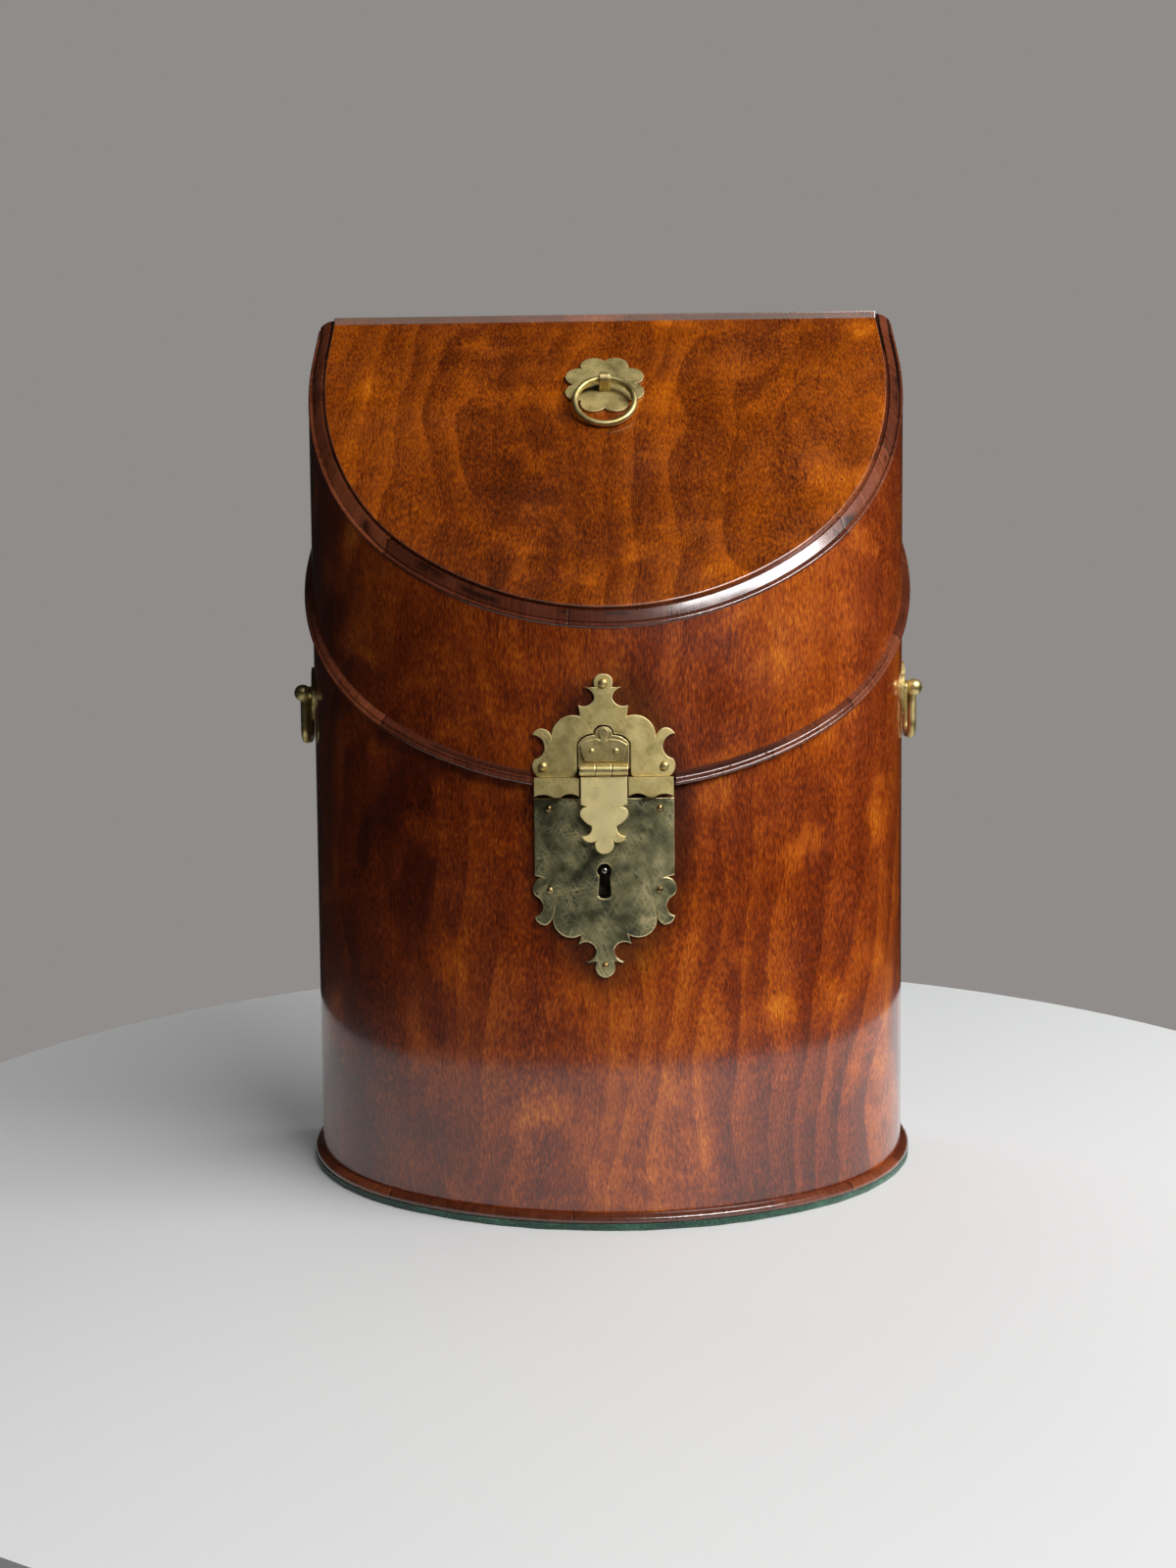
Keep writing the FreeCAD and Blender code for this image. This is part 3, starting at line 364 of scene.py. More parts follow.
@dataclass(frozen=True)
class PolishedMahogany(Finish):
    """Old mahogany veneer under built-up shellac polish.

    The eye gets growth lines that bend round a dark heart, streaks and short flecks of
    orange and brown along the grain, dark pores, and a clear skin that mirrors the table.
    The fields heart to curl are the shares of the layers that make the wood lighter or
    darker. The grain runs along Z turned by lean.
    """

    shades: tuple[str, ...]
    lean: Triple = (0.0, 0.0, 0.0)
    heart_mm: Triple = (0.0, 0.0, 0.0)
    ring_mm: Pair = (12.0, 34.0)
    cut_mm: float = 0.0
    grime_mm: Triple | None = None
    heart: float = 0.12
    rings: float = 0.11
    patches: float = 0.50
    glow: float = 0.24
    streaks: float = 0.24
    flecks: float = 0.56
    curl: float = 0.12
    roughness: float = 0.32
    coat: float = 1.0
    wander_mm: float = 60.0
    shift_mm: float = 30.0
    pore_mm: float = 0.8
    dent_mm: float = 16.0
    wear_mm: float = 30.0
    pore_dark: str = "#6a3018"
    wax_dark: str = "#1c0803"
    dust_and_reflection_grey: str = "#9c8b7e"
    grime_dark: str = "#1a0703"

    def surface(self, add: Adder, place: Socket) -> Node:
        """Draws figured wood with pores, wear and polish.

        Args:
            add: add_node for the tree of the material.
            place: Object coordinates, in metres.

        Returns:
            The shader.
        """
        grain = add("Mapping", {"vector_type": "TEXTURE", "Rotation": self.lean}, {"Vector": place})
        # the growth lines wander sideways
        slow = add("Mapping", {"Scale": (1.0, 1.0, 0.45)}, {"Vector": grain})
        wander = add(
            "TexNoise", {"Scale": 1000 / self.wander_mm, "Detail": 2.0, "Roughness": 0.5}, {"Vector": slow})
        shift = add(
            "VectorMath", {"operation": "MULTIPLY_ADD", 1: (self.shift_mm * MM,) * 3},
            {0: wander.outputs["Color"], 2: grain})
        tone = self.tone(add, slow, shift, *self.growth(add, grain, wander))
        wood = add(
            "ValToRGB", {"stops": tuple(zip((0.22, 0.38, 0.50, 0.62, 0.80), self.shades))}, {"Fac": tone})
        # open pores filled with dark polish, 0.3 by 4 mm
        fine = add("Mapping", {"Scale": (1.0, 1.0, 0.09)}, {"Vector": shift})
        pore = add(
            "TexNoise", {"Scale": 1000 / self.pore_mm, "Detail": 1.0, "Roughness": 0.5}, {"Vector": fine})
        tick = add("MapRange", {"range": (0.60, 0.72, 0.0, 0.5)}, {"Value": pore})
        grained = add(
            "Mix", {"data_type": "RGBA", "blend_type": "MULTIPLY", 7: linear(self.pore_dark)},
            {0: tick, 6: wood})
        colour = self.aged(add, place, shift, grained)
        # the polish carries fine wear, so its gloss varies by the hand's width
        wear = add(
            "TexNoise", {"Scale": 1000 / self.wear_mm, "Detail": 4.0, "Roughness": 0.6}, {"Vector": place})
        gloss = add(
            "MapRange", {"range": (0.3, 0.7, self.roughness - 0.06, self.roughness + 0.08)},
            {"Value": wear})
        dip = add("Bump", {"Strength": 0.06, "Distance": 0.0002, "invert": True}, {"Height": tick})
        return add(
            "BsdfPrincipled",
            {"IOR": 1.5, "Specular IOR Level": 0.4, "Coat Weight": self.coat, "Coat Roughness": 0.10,
             "Coat IOR": 1.6},
            {"Base Color": colour.outputs[2], "Roughness": gloss, "Normal": dip})

    def growth(self, add: Adder, grain: Node, wander: Node) -> tuple[Node, Node]:
        """Draws growth lines: long ovals round the heart, pale inside and dark at the outer edge.

        Args:
            add: add_node for the tree of the material.
            grain: coordinates along the grain.
            wander: slow noise that bends the lines.

        Returns:
            The distance from the heart, in rings, and the lines.
        """
        oval = add(
            "Mapping",
            {"vector_type": "TEXTURE", "Location": tuple(n * MM for n in self.heart_mm),
             "Scale": (self.ring_mm[0] * MM, 10.0, self.ring_mm[1] * MM)},
            {"Vector": grain})
        bent = add(
            "VectorMath", {"operation": "MULTIPLY_ADD", 1: (5.0, 0.0, 5.0), 2: (-2.5, 0.0, -2.5)},
            {0: wander.outputs["Color"]})
        spot = add("VectorMath", {"operation": "ADD"}, {0: oval, 1: bent})
        far = add("VectorMath", {"operation": "LENGTH"}, {0: spot})
        inward = add("Math", {"operation": "SUBTRACT", 0: 100.0}, {1: far.outputs["Value"]})
        ring = add("Math", {"operation": "FRACT"}, {0: inward})
        line = add("MapRange", {"interpolation_type": "SMOOTHSTEP", "range": (0.0, 0.93)}, {"Value": ring})
        drop = add("MapRange", {"range": (0.93, 1.0, 1.0, 0.0)}, {"Value": ring})
        # the lines come and go over the width of a hand
        show = add("MapRange", {"range": (0.40, 0.62, 0.15)}, {"Value": wander})
        for mask in (drop, show):
            line = add("Math", {"operation": "MULTIPLY"}, {0: line, 1: mask})
        return far, line

    def tone(self, add: Adder, slow: Node, shift: Node, far: Node, line: Node) -> Node:
        """Adds up the layers that make the wood lighter or darker.

        Args:
            add: add_node for the tree of the material.
            slow: coordinates drawn out along the grain.
            shift: coordinates that wander with the growth lines.
            far: distance from the heart, in rings.
            line: growth lines.

        Returns:
            The tone, dark at 0 and light at 1.
        """
        cut = add("Mapping", {"Location": (0.0, 0.0, self.cut_mm * MM)}, {"Vector": slow})
        long_way, short_way, across = (
            add("Mapping", {"Scale": scale}, {"Vector": shift})
            for scale in ((1.0, 1.0, 0.05), (1.0, 1.0, 0.26), (0.4, 0.4, 1.3)))
        # patches of colour, 80 mm; glows, 26 mm; streaks, 7 by 140 mm; flecks, 0.5 by 2 mm;
        # curl, 6 mm bands
        patch, glow, streak, fleck, curl = (
            add("TexNoise", {"Scale": 1000 / mm, "Detail": detail, "Roughness": rough}, {"Vector": way})
            for way, mm, detail, rough in (
                (cut, 80.0, 2.0, 0.4), (shift, 26.0, 3.0, 0.5), (long_way, 14.0, 4.0, 0.6),
                (short_way, 0.55, 2.0, 0.55), (across, 12.0, 3.0, 0.6)))
        gleam = add(
            "MapRange", {"interpolation_type": "SMOOTHSTEP", "range": (0.50, 0.72, 0.4)}, {"Value": glow})
        core = add(
            "MapRange", {"interpolation_type": "SMOOTHSTEP", "range": (0.2, 1.7)},
            {"Value": far.outputs["Value"]})
        layers = (
            (self.patches, patch), (self.glow, gleam), (self.streaks, streak), (self.flecks, fleck),
            (self.curl, curl), (self.rings, line))
        middle = 0.5 - self.heart - sum(share for share, _ in layers) / 2
        tone = add("Math", {"operation": "MULTIPLY_ADD", 1: self.heart, 2: middle}, {0: core})
        for share, layer in layers:
            tone = add("Math", {"operation": "MULTIPLY_ADD", 1: share}, {0: layer, 2: tone})
        return tone

    def aged(self, add: Adder, place: Socket, shift: Node, wood: Node) -> Node:
        """Adds dents, rubbed edges and old grime to the colour of the wood.

        Args:
            add: add_node for the tree of the material.
            place: Object coordinates, in metres.
            shift: coordinates that wander with the growth lines.
            wood: colour with pores.

        Returns:
            The colour.
        """
        # old dents under 1 mm across, about one in each square of dent_mm, filled with dark wax
        dent = add("TexVoronoi", {"Scale": 1000 / self.dent_mm, "Randomness": 1.0}, {"Vector": place})
        nick = add("MapRange", {"range": (0.022, 0.034, 0.8, 0.0)}, {"Value": dent})
        # edges greyed by hands and dust, and on the lip behind the lid panel a painted reflection of the grey
        # room
        edge = add("Attribute", {"attribute_name": "edge"})
        marks = [(self.wax_dark, nick), (self.dust_and_reflection_grey, edge.outputs["Fac"])]
        if self.grime_mm:
            # old metal polish and wax, dark in a ragged ring about 4 mm wide round the brass plates
            about = add(
                "Mapping",
                {"vector_type": "TEXTURE", "Location": tuple(n * MM for n in self.grime_mm),
                 "Scale": (0.030, 0.014, 0.057)},
                {"Vector": shift})
            near = add("VectorMath", {"operation": "LENGTH"}, {0: about})
            stain = add(
                "MapRange", {"interpolation_type": "SMOOTHSTEP", "range": (0.86, 1.14, 0.72, 0.0)},
                {"Value": near.outputs["Value"]})
            marks.append((self.grime_dark, stain))
        colour = wood
        for shade, mask in marks:
            colour = add("Mix", {"data_type": "RGBA", 7: linear(shade)}, {0: mask, 6: colour.outputs[2]})
        return colour


@dataclass(frozen=True)
class CrossGrainMahogany(Finish):
    """Mouldings of short lengths of mahogany cut across the grain and butted end to end.

    The eye gets pieces of slightly different brown, fine lines across the run, a dark
    hair of a joint between them, and quirks dark with gathered polish and painted shade. The
    attribute run holds millimetres along the moulding, and the attribute quirk marks its grooves.
    """

    segment_mm: float = 34.0
    joint_mm: float = 0.35
    line_mm: float = 1.4
    cloud_mm: float = 12.0
    first_joint: float = 40.37
    shades: tuple[str, ...] = ("#35170d", "#582815", "#7c4026", "#a0603c")
    dirt_and_shade: str = "#120603"

    def surface(self, add: Adder, place: Socket) -> Node:
        """Draws the butted lengths.

        Args:
            add: add_node for the tree of the material.
            place: Object coordinates, in metres.

        Returns:
            The shader.
        """
        run = add("Attribute", {"attribute_name": "run"})
        unit = add(
            "Math", {"operation": "MULTIPLY_ADD", 1: 1 / self.segment_mm, 2: self.first_joint},
            {0: run.outputs["Fac"]})
        piece = add("Math", {"operation": "FLOOR"}, {0: unit})
        shade = add("TexWhiteNoise", {"noise_dimensions": "1D"}, {"W": piece})
        within = add("Math", {"operation": "FRACT"}, {0: unit})
        off = add("Math", {"operation": "SUBTRACT", 1: 0.5}, {0: within})
        edge = add("Math", {"operation": "ABSOLUTE"}, {0: off})
        reach = 0.5 - self.joint_mm / self.segment_mm / 2
        joint = add("MapRange", {"range": (reach - 0.004, reach + 0.002, 0.0, 0.8)}, {"Value": edge})
        # grain lines line_mm apart along the run, long across it
        line = add(
            "TexNoise",
            {"noise_dimensions": "1D", "Scale": 1 / self.line_mm, "Detail": 4.0, "Roughness": 0.65},
            {"W": run.outputs["Fac"]})
        cloud = add(
            "TexNoise", {"Scale": 1000 / self.cloud_mm, "Detail": 4.0, "Roughness": 0.6}, {"Vector": place})
        tone = add("Math", {"operation": "MULTIPLY_ADD", 1: 0.45, 2: -0.12}, {0: line})
        for share, layer in ((0.30, shade), (0.35, cloud)):
            tone = add("Math", {"operation": "MULTIPLY_ADD", 1: share}, {0: layer, 2: tone})
        wood = add("ValToRGB", {"stops": tuple(zip((0.15, 0.40, 0.62, 0.85), self.shades))}, {"Fac": tone})
        quirk = add("Attribute", {"attribute_name": "quirk"})
        # joints are dark wood; quirks are dark with gathered polish and painted shade
        dark = add("Math", {"operation": "MAXIMUM"}, {0: joint, 1: quirk.outputs["Fac"]})
        colour = add("Mix", {"data_type": "RGBA", 7: linear(self.dirt_and_shade)}, {0: dark, 6: wood})
        gloss = add("MapRange", {"range": (0.3, 0.7, 0.22, 0.36)}, {"Value": cloud})
        dip = add("Bump", {"Strength": 0.25, "Distance": 0.0003, "invert": True}, {"Height": joint})
        return add(
            "BsdfPrincipled", {"IOR": 1.5, "Coat Weight": 0.9, "Coat Roughness": 0.15, "Coat IOR": 1.6},
            {"Base Color": colour.outputs[2], "Roughness": gloss, "Normal": dip})


@dataclass(frozen=True)
class AgedBrass(Finish):
    """Cast and filed brass that was polished for two centuries and then left to dull.

    The eye gets an olive-gold metal with brown-green tarnish in clouds, edges rubbed bright and given a
    painted highlight, and hairline scratches that run every way. The attribute edge marks those faces.
    """

    bright: str
    dull: str
    tarnish: str
    roughness: float = 0.30
    cloud_mm: float = 9.0
    scratched: float = 0.35
    scratches: tuple[Pair, ...] = ((0.5, 0.02), (-0.6, 0.016), (1.35, 0.02), (2.2, 0.025), (2.75, 0.016))
    hair_mm: float = 0.5
    scuff_mm: float = 9.0
    grain_mm: float = 1.2
    rubbed: str = "#f0dfa8"

    def surface(self, add: Adder, place: Socket) -> Node:
        """Draws tarnished, scratched and rubbed metal.

        Args:
            add: add_node for the tree of the material.
            place: Object coordinates, in metres.

        Returns:
            The shader.
        """
        # tarnish in clouds, scuffs of half scuff_mm, and the grain of the casting
        cloud, scuff, grain = (
            add("TexNoise", {"Scale": 1000 / mm, "Detail": detail, "Roughness": rough}, {"Vector": place})
            for mm, detail, rough in (
                (self.cloud_mm * 2, 5.0, 0.62), (self.scuff_mm, 3.0, 0.6), (self.grain_mm, 3.0, 0.6)))
        metal = add(
            "ValToRGB", {"stops": ((0.30, self.tarnish), (0.46, self.dull), (0.68, self.bright))},
            {"Fac": cloud})
        # hairline scratches, 0.1 mm wide in truth, drawn at about 0.25 mm so that they show
        scratch = None
        for turn, stretch in self.scratches:
            way = add(
                "Mapping",
                {"vector_type": "TEXTURE", "Rotation": (0.0, turn, 0.0), "Scale": (1.0, 1.0, 1 / stretch)},
                {"Vector": place})
            hair = add("TexNoise", {"Scale": 1000 / self.hair_mm, "Detail": 0.0}, {"Vector": way})
            mark = add("MapRange", {"range": (0.58, 0.70)}, {"Value": hair})
            if scratch:
                mark = add("Math", {"operation": "MAXIMUM"}, {0: mark, 1: scratch})
            scratch = mark
        # the scuffs let the scratches show in some places more than in others
        share = add(
            "MapRange", {"range": (0.38, 0.66, 0.12 * self.scratched, self.scratched)}, {"Value": scuff})
        lit = add("Math", {"operation": "MULTIPLY"}, {0: scratch, 1: share})
        # edge faces take the pale colour: partly rubbed bare brass, partly a painted highlight
        edge = add("Attribute", {"attribute_name": "edge"})
        lit = add("Math", {"operation": "MAXIMUM"}, {0: lit, 1: edge.outputs["Fac"]})
        colour = add("Mix", {"data_type": "RGBA", 7: linear(self.rubbed)}, {0: lit, 6: metal})
        rough = add(
            "MapRange", {"range": (0.35, 0.65, self.roughness - 0.06, self.roughness + 0.08)},
            {"Value": scuff})
        height = add("Math", {"operation": "MULTIPLY_ADD", 1: -0.6}, {0: scratch, 2: grain})
        dip = add("Bump", {"Strength": 0.10, "Distance": 0.0002}, {"Height": height})
        return add(
            "BsdfPrincipled", {"Metallic": 1.0},
            {"Base Color": colour.outputs[2], "Roughness": rough, "Normal": dip})


@dataclass(frozen=True)
class OldSteel(Finish):
    """Forged and filed steel gone grey-brown: dull, with darker freckles of old rust."""

    shades: tuple[str, str, str] = ("#3b2f28", "#6c6762", "#a3a09b")
    roughness: float = 0.42
    freckle_mm: float = 4.0

    def surface(self, add: Adder, place: Socket) -> Node:
        """Draws freckled metal.

        Args:
            add: add_node for the tree of the material.
            place: Object coordinates, in metres.

        Returns:
            The shader.
        """
        freckle = add(
            "TexNoise", {"Scale": 1000 / self.freckle_mm, "Detail": 5.0, "Roughness": 0.65},
            {"Vector": place})
        metal = add("ValToRGB", {"stops": tuple(zip((0.36, 0.48, 0.70), self.shades))}, {"Fac": freckle})
        rough = add(
            "MapRange", {"range": (0.35, 0.65, self.roughness + 0.1, self.roughness - 0.1)},
            {"Value": freckle})
        dip = add("Bump", {"Strength": 0.15, "Distance": 0.0002}, {"Height": freckle})
        return add(
            "BsdfPrincipled", {"Metallic": 1.0}, {"Base Color": metal, "Roughness": rough, "Normal": dip})


@dataclass(frozen=True)
class WoolBaize(Finish):
    """Napped green wool cloth: a soft felted surface, matt, paler where the nap is rubbed."""

    shades: tuple[str, str, str] = ("#0e261d", "#1b4032", "#3d6551")
    nap_mm: float = 1.0
    rub_mm: float = 30.0

    def surface(self, add: Adder, place: Socket) -> Node:
        """Draws felted cloth.

        Args:
            add: add_node for the tree of the material.
            place: Object coordinates, in metres.

        Returns:
            The shader.
        """
        nap, rub_and_sheen = (
            add("TexNoise", {"Scale": 1000 / mm, "Detail": detail, "Roughness": rough}, {"Vector": place})
            for mm, detail, rough in ((self.nap_mm, 5.0, 0.7), (self.rub_mm, 3.0, 0.6)))
        mix = add("Math", {"operation": "MULTIPLY_ADD", 1: 0.6}, {0: rub_and_sheen, 2: nap})
        cloth = add("ValToRGB", {"stops": tuple(zip((0.55, 0.80, 1.0), self.shades))}, {"Fac": mix})
        dip = add("Bump", {"Strength": 0.6, "Distance": 0.0006}, {"Height": nap})
        return add(
            "BsdfPrincipled", {"Roughness": 0.95, "IOR": 1.5, "Sheen Weight": 0.35, "Sheen Roughness": 0.5},
            {"Base Color": cloth, "Normal": dip})


@dataclass(frozen=True)
class Finishes:
    """All materials of the box, by slot, and the special ones by name."""

    made: dict[Slot, Material]
    special: dict[str, Material]

    @classmethod
    def mix(cls) -> "Finishes":
        """Makes every material once.

        Returns:
            The set of finishes.
        """
        by_slot = {
            Slot.MAHOGANY: PolishedMahogany(
                "polished_mahogany_wall",
                ("#260702", "#4f1803", "#762d05", "#9c4808", "#c9761c"),
                heart_mm=(-70.0, 0.0, 112.0), grime_mm=(13.6, -39.0, 149.2), cut_mm=360.0),
            Slot.FIGURED: PolishedMahogany(
                "polished_mahogany_panel",
                ("#351101", "#602602", "#873e03", "#a85205", "#cf7d1c"),
                lean=(math.radians(-40.66), 0.0, 0.0), heart_mm=(103.0, 0.0, 190.0), ring_mm=(15.0, 26.0),
                heart=-0.13, rings=0.12, patches=0.36, cut_mm=120.0, coat=0.4),
            Slot.CROSS_GRAIN: CrossGrainMahogany("cross_grain_mahogany"),
            Slot.INTERIOR: PolishedMahogany(
                "waxed_mahogany_inside",
                ("#43200f", "#6b3a1a", "#895027", "#a46a3a", "#bd8a55"),
                lean=(0.0, math.pi / 2, 0.0), heart_mm=(-160.0, 0.0, -60.0), roughness=0.48, coat=0.1),
            Slot.BAIZE: WoolBaize("green_wool_baize"),
            Slot.PLATE_BRASS: AgedBrass("aged_sheet_brass", "#dccb8e", "#c7b477", "#9a8b55", 0.62, 3.5, 0.45),
            Slot.WORN_BRASS: AgedBrass("rubbed_cast_brass", "#e2cf92", "#c9b476", "#97864c", 0.46, 4.0),
            Slot.STEEL: OldSteel("filed_steel"),
        }
        by_name = {
            "lock": AgedBrass("polished_lock_brass", "#cbc694", "#97966f", "#4d5a55", 0.40, 3.2, 0.90),
            # the flap's brass is paler than the rest as painted light: the window's light on the tilted flap
            "flap": AgedBrass("pale_hasp_brass_painted_light", "#f6e8b2", "#ecdca4", "#cfbf86", 0.70, 5.0),
            "pin": AgedBrass("bronzed_pin_brass", "#a98f5c", "#8a6f45", "#5c4730", 0.36, 2.0),
            "post": OldSteel("bright_key_post_steel", ("#8f8c88", "#c4c2be", "#e2e0dc"), 0.24),
        }
        return cls(
            {slot: finish.material() for slot, finish in by_slot.items()},
            {name: finish.material() for name, finish in by_name.items()})

    def on_nodes(self) -> None:
        """Gives every CAD node the material of its record slot."""
        slots = {slot.value: slot for slot in Slot}
        for name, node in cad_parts.items():
            for place in node.material_slots:
                key = place.material.name.split(".")[0] if place.material else ""
                if key in slots:
                    place.material = self.made[slots[key]]
                else:
                    log.info("%s has no slot for %s", name, key)


def merged_copy(node: str, name: str) -> Piece:
    """Copies a CAD node and merges its loose triangles.

    Args:
        node: CAD node.
        name: name of the new piece.

    Returns:
        The copy, with its own mesh.
    """
    piece = bpy.data.objects.new(name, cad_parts[node].data.copy())
    bpy.context.collection.objects.link(piece)
    activate(piece)
    bpy.ops.mesh.customdata_custom_splitnormals_clear()
    with editing(piece):
        bpy.ops.mesh.remove_doubles(threshold=MERGE_MM * MM)
    return piece


def ease_edges(
    piece: Piece, width: float, sharp: float = 40.0, segments: int = 2, rub_and_sheen: float = 0.7,
) -> None:
    """Rounds the sharp edges of a piece and marks them as rubbed, which also paints a highlight or
    reflection.

    Args:
        piece: piece with a merged mesh.
        width: width of the rounding, in mm.
        sharp: angle between faces from which an edge counts as sharp, in degrees.
        segments: faces across the rounding.
        rub_and_sheen: how far the rounding is rubbed and painted as highlight or reflection, from 0 to 1.
    """
    # the second of two empty material slots tells the new faces from the old ones
    piece.data.materials.clear()
    for _ in range(2):
        piece.data.materials.append(None)
    with editing(piece):
        bpy.ops.mesh.select_mode(type="EDGE")
        bpy.ops.mesh.dissolve_limited(angle_limit=math.radians(FLAT_DEGREES))
        bpy.ops.mesh.select_all(action="DESELECT")
        bpy.ops.mesh.edges_select_sharp(sharpness=math.radians(sharp))
        bpy.ops.mesh.bevel(
            offset=width * MM, segments=segments, profile=0.5, clamp_overlap=True, material=1)
    mark = piece.data.attributes.new("edge", "FLOAT", "FACE")
    for face in piece.data.polygons:
        mark.data[face.index].value = rub_and_sheen * face.material_index
        face.material_index = 0
    smooth(piece, EASED_DEGREES)


def joined(name: str, *parts: Piece) -> Piece:
    """Joins parts that were made as one casting.

    Args:
        name: name of the joined piece.
        parts: the parts, the first of which stays.

    Returns:
        The joined piece.
    """
    activate(parts[0])
    for part in parts[1:]:
        part.select_set(True)
    bpy.ops.object.join()
    parts[0].name = name
    return parts[0]


@dataclass
class SheetBrass:
    """A piece of sheet brass, filed to its outline and bent to the bow of the box or left flat.

    Lengths are in mm and the crease in degrees. A face whose normal has a y between the two of
    face_normal is filed edge.
    """

    name: str
    outline: list[Pair]
    datum: Pair
    thickness: float = 1.2
    bevel: float = 0.3
    back_y: float | None = None
    holes: list[list[Pair]] = field(default_factory=list)
    strip: float = 1.6
    merge: float = 0.01
    crease: float = 12.0
    rub_and_sheen: float = 0.8
    face_normal: Pair = (-0.97, 0.2)

    def build(self) -> Piece:
        """Models the sheet as a filled flat curve, made a mesh, sliced and bent.

        Returns:
            The sheet in its place, with an attribute that marks its filed edge.
        """
        deselect()
        bpy.ops.curve.primitive_bezier_circle_add(radius=0.01)
        drawn = bpy.context.object
        drawn.name = self.name
        line = drawn.data
        line.splines.clear()
        for loop in [self.outline] + self.holes:
            spline = line.splines.new("POLY")
            spline.points.add(len(loop) - 1)
            for point, (x, z) in zip(spline.points, loop):
                point.co = (x * MM, z * MM, 0.0, 1.0)
            spline.use_cyclic_u = True
        line.dimensions = "2D"
        line.fill_mode = "BOTH"
        line.extrude = (self.thickness / 2 - self.bevel) * MM
        line.bevel_depth = self.bevel * MM
        line.bevel_resolution = 2
        line.offset = -self.bevel * MM
        bpy.ops.object.convert(target="MESH")
        sheet = bpy.context.object
        middle, height = self.datum
        place = Matrix(((1, 0, 0, middle * MM), (0, 0, -1, 0), (0, 1, 0, height * MM), (0, 0, 0, 1)))
        sheet.data.transform(place)
        self.slice(sheet)
        self.set_back(sheet)
        # filed edge faces get the pale rubbed colour, partly a painted highlight
        mark = sheet.data.attributes.new("edge", "FLOAT", "FACE")
        front, back = self.face_normal
        for face in sheet.data.polygons:
            mark.data[face.index].value = self.rub_and_sheen if front < face.normal.y < back else 0.0
        smooth(sheet, self.crease)
        return sheet

    def slice(self, sheet: Piece) -> None:
        """Merges the mesh and cuts a sheet that bends in upright strips.

        Args:
            sheet: flat sheet, upright at its place.
        """
        xs = [v.co.x for v in sheet.data.vertices]
        count = math.ceil((max(xs) - min(xs)) / (self.strip * MM)) if self.back_y is None else 0
        with editing(sheet):
            bpy.ops.mesh.remove_doubles(threshold=self.merge * MM)
            for i in range(1, count):
                bpy.ops.mesh.select_all(action="SELECT")
                cut = min(xs) + (max(xs) - min(xs)) * i / count
                bpy.ops.mesh.bisect(plane_co=(cut, 0, 0), plane_no=(1, 0, 0))

    def set_back(self, sheet: Piece) -> None:
        """Moves each point from the flat to its place before the wood.

        Args:
            sheet: flat sheet, sliced if it bends.
        """
        for vertex in sheet.data.vertices:
            out = self.thickness / 2 - vertex.co.y / MM
            if self.back_y is None:
                vertex.co.y = PLAN.front_y(vertex.co.x / MM, out) * MM
            else:
                vertex.co.y = (self.back_y - out) * MM


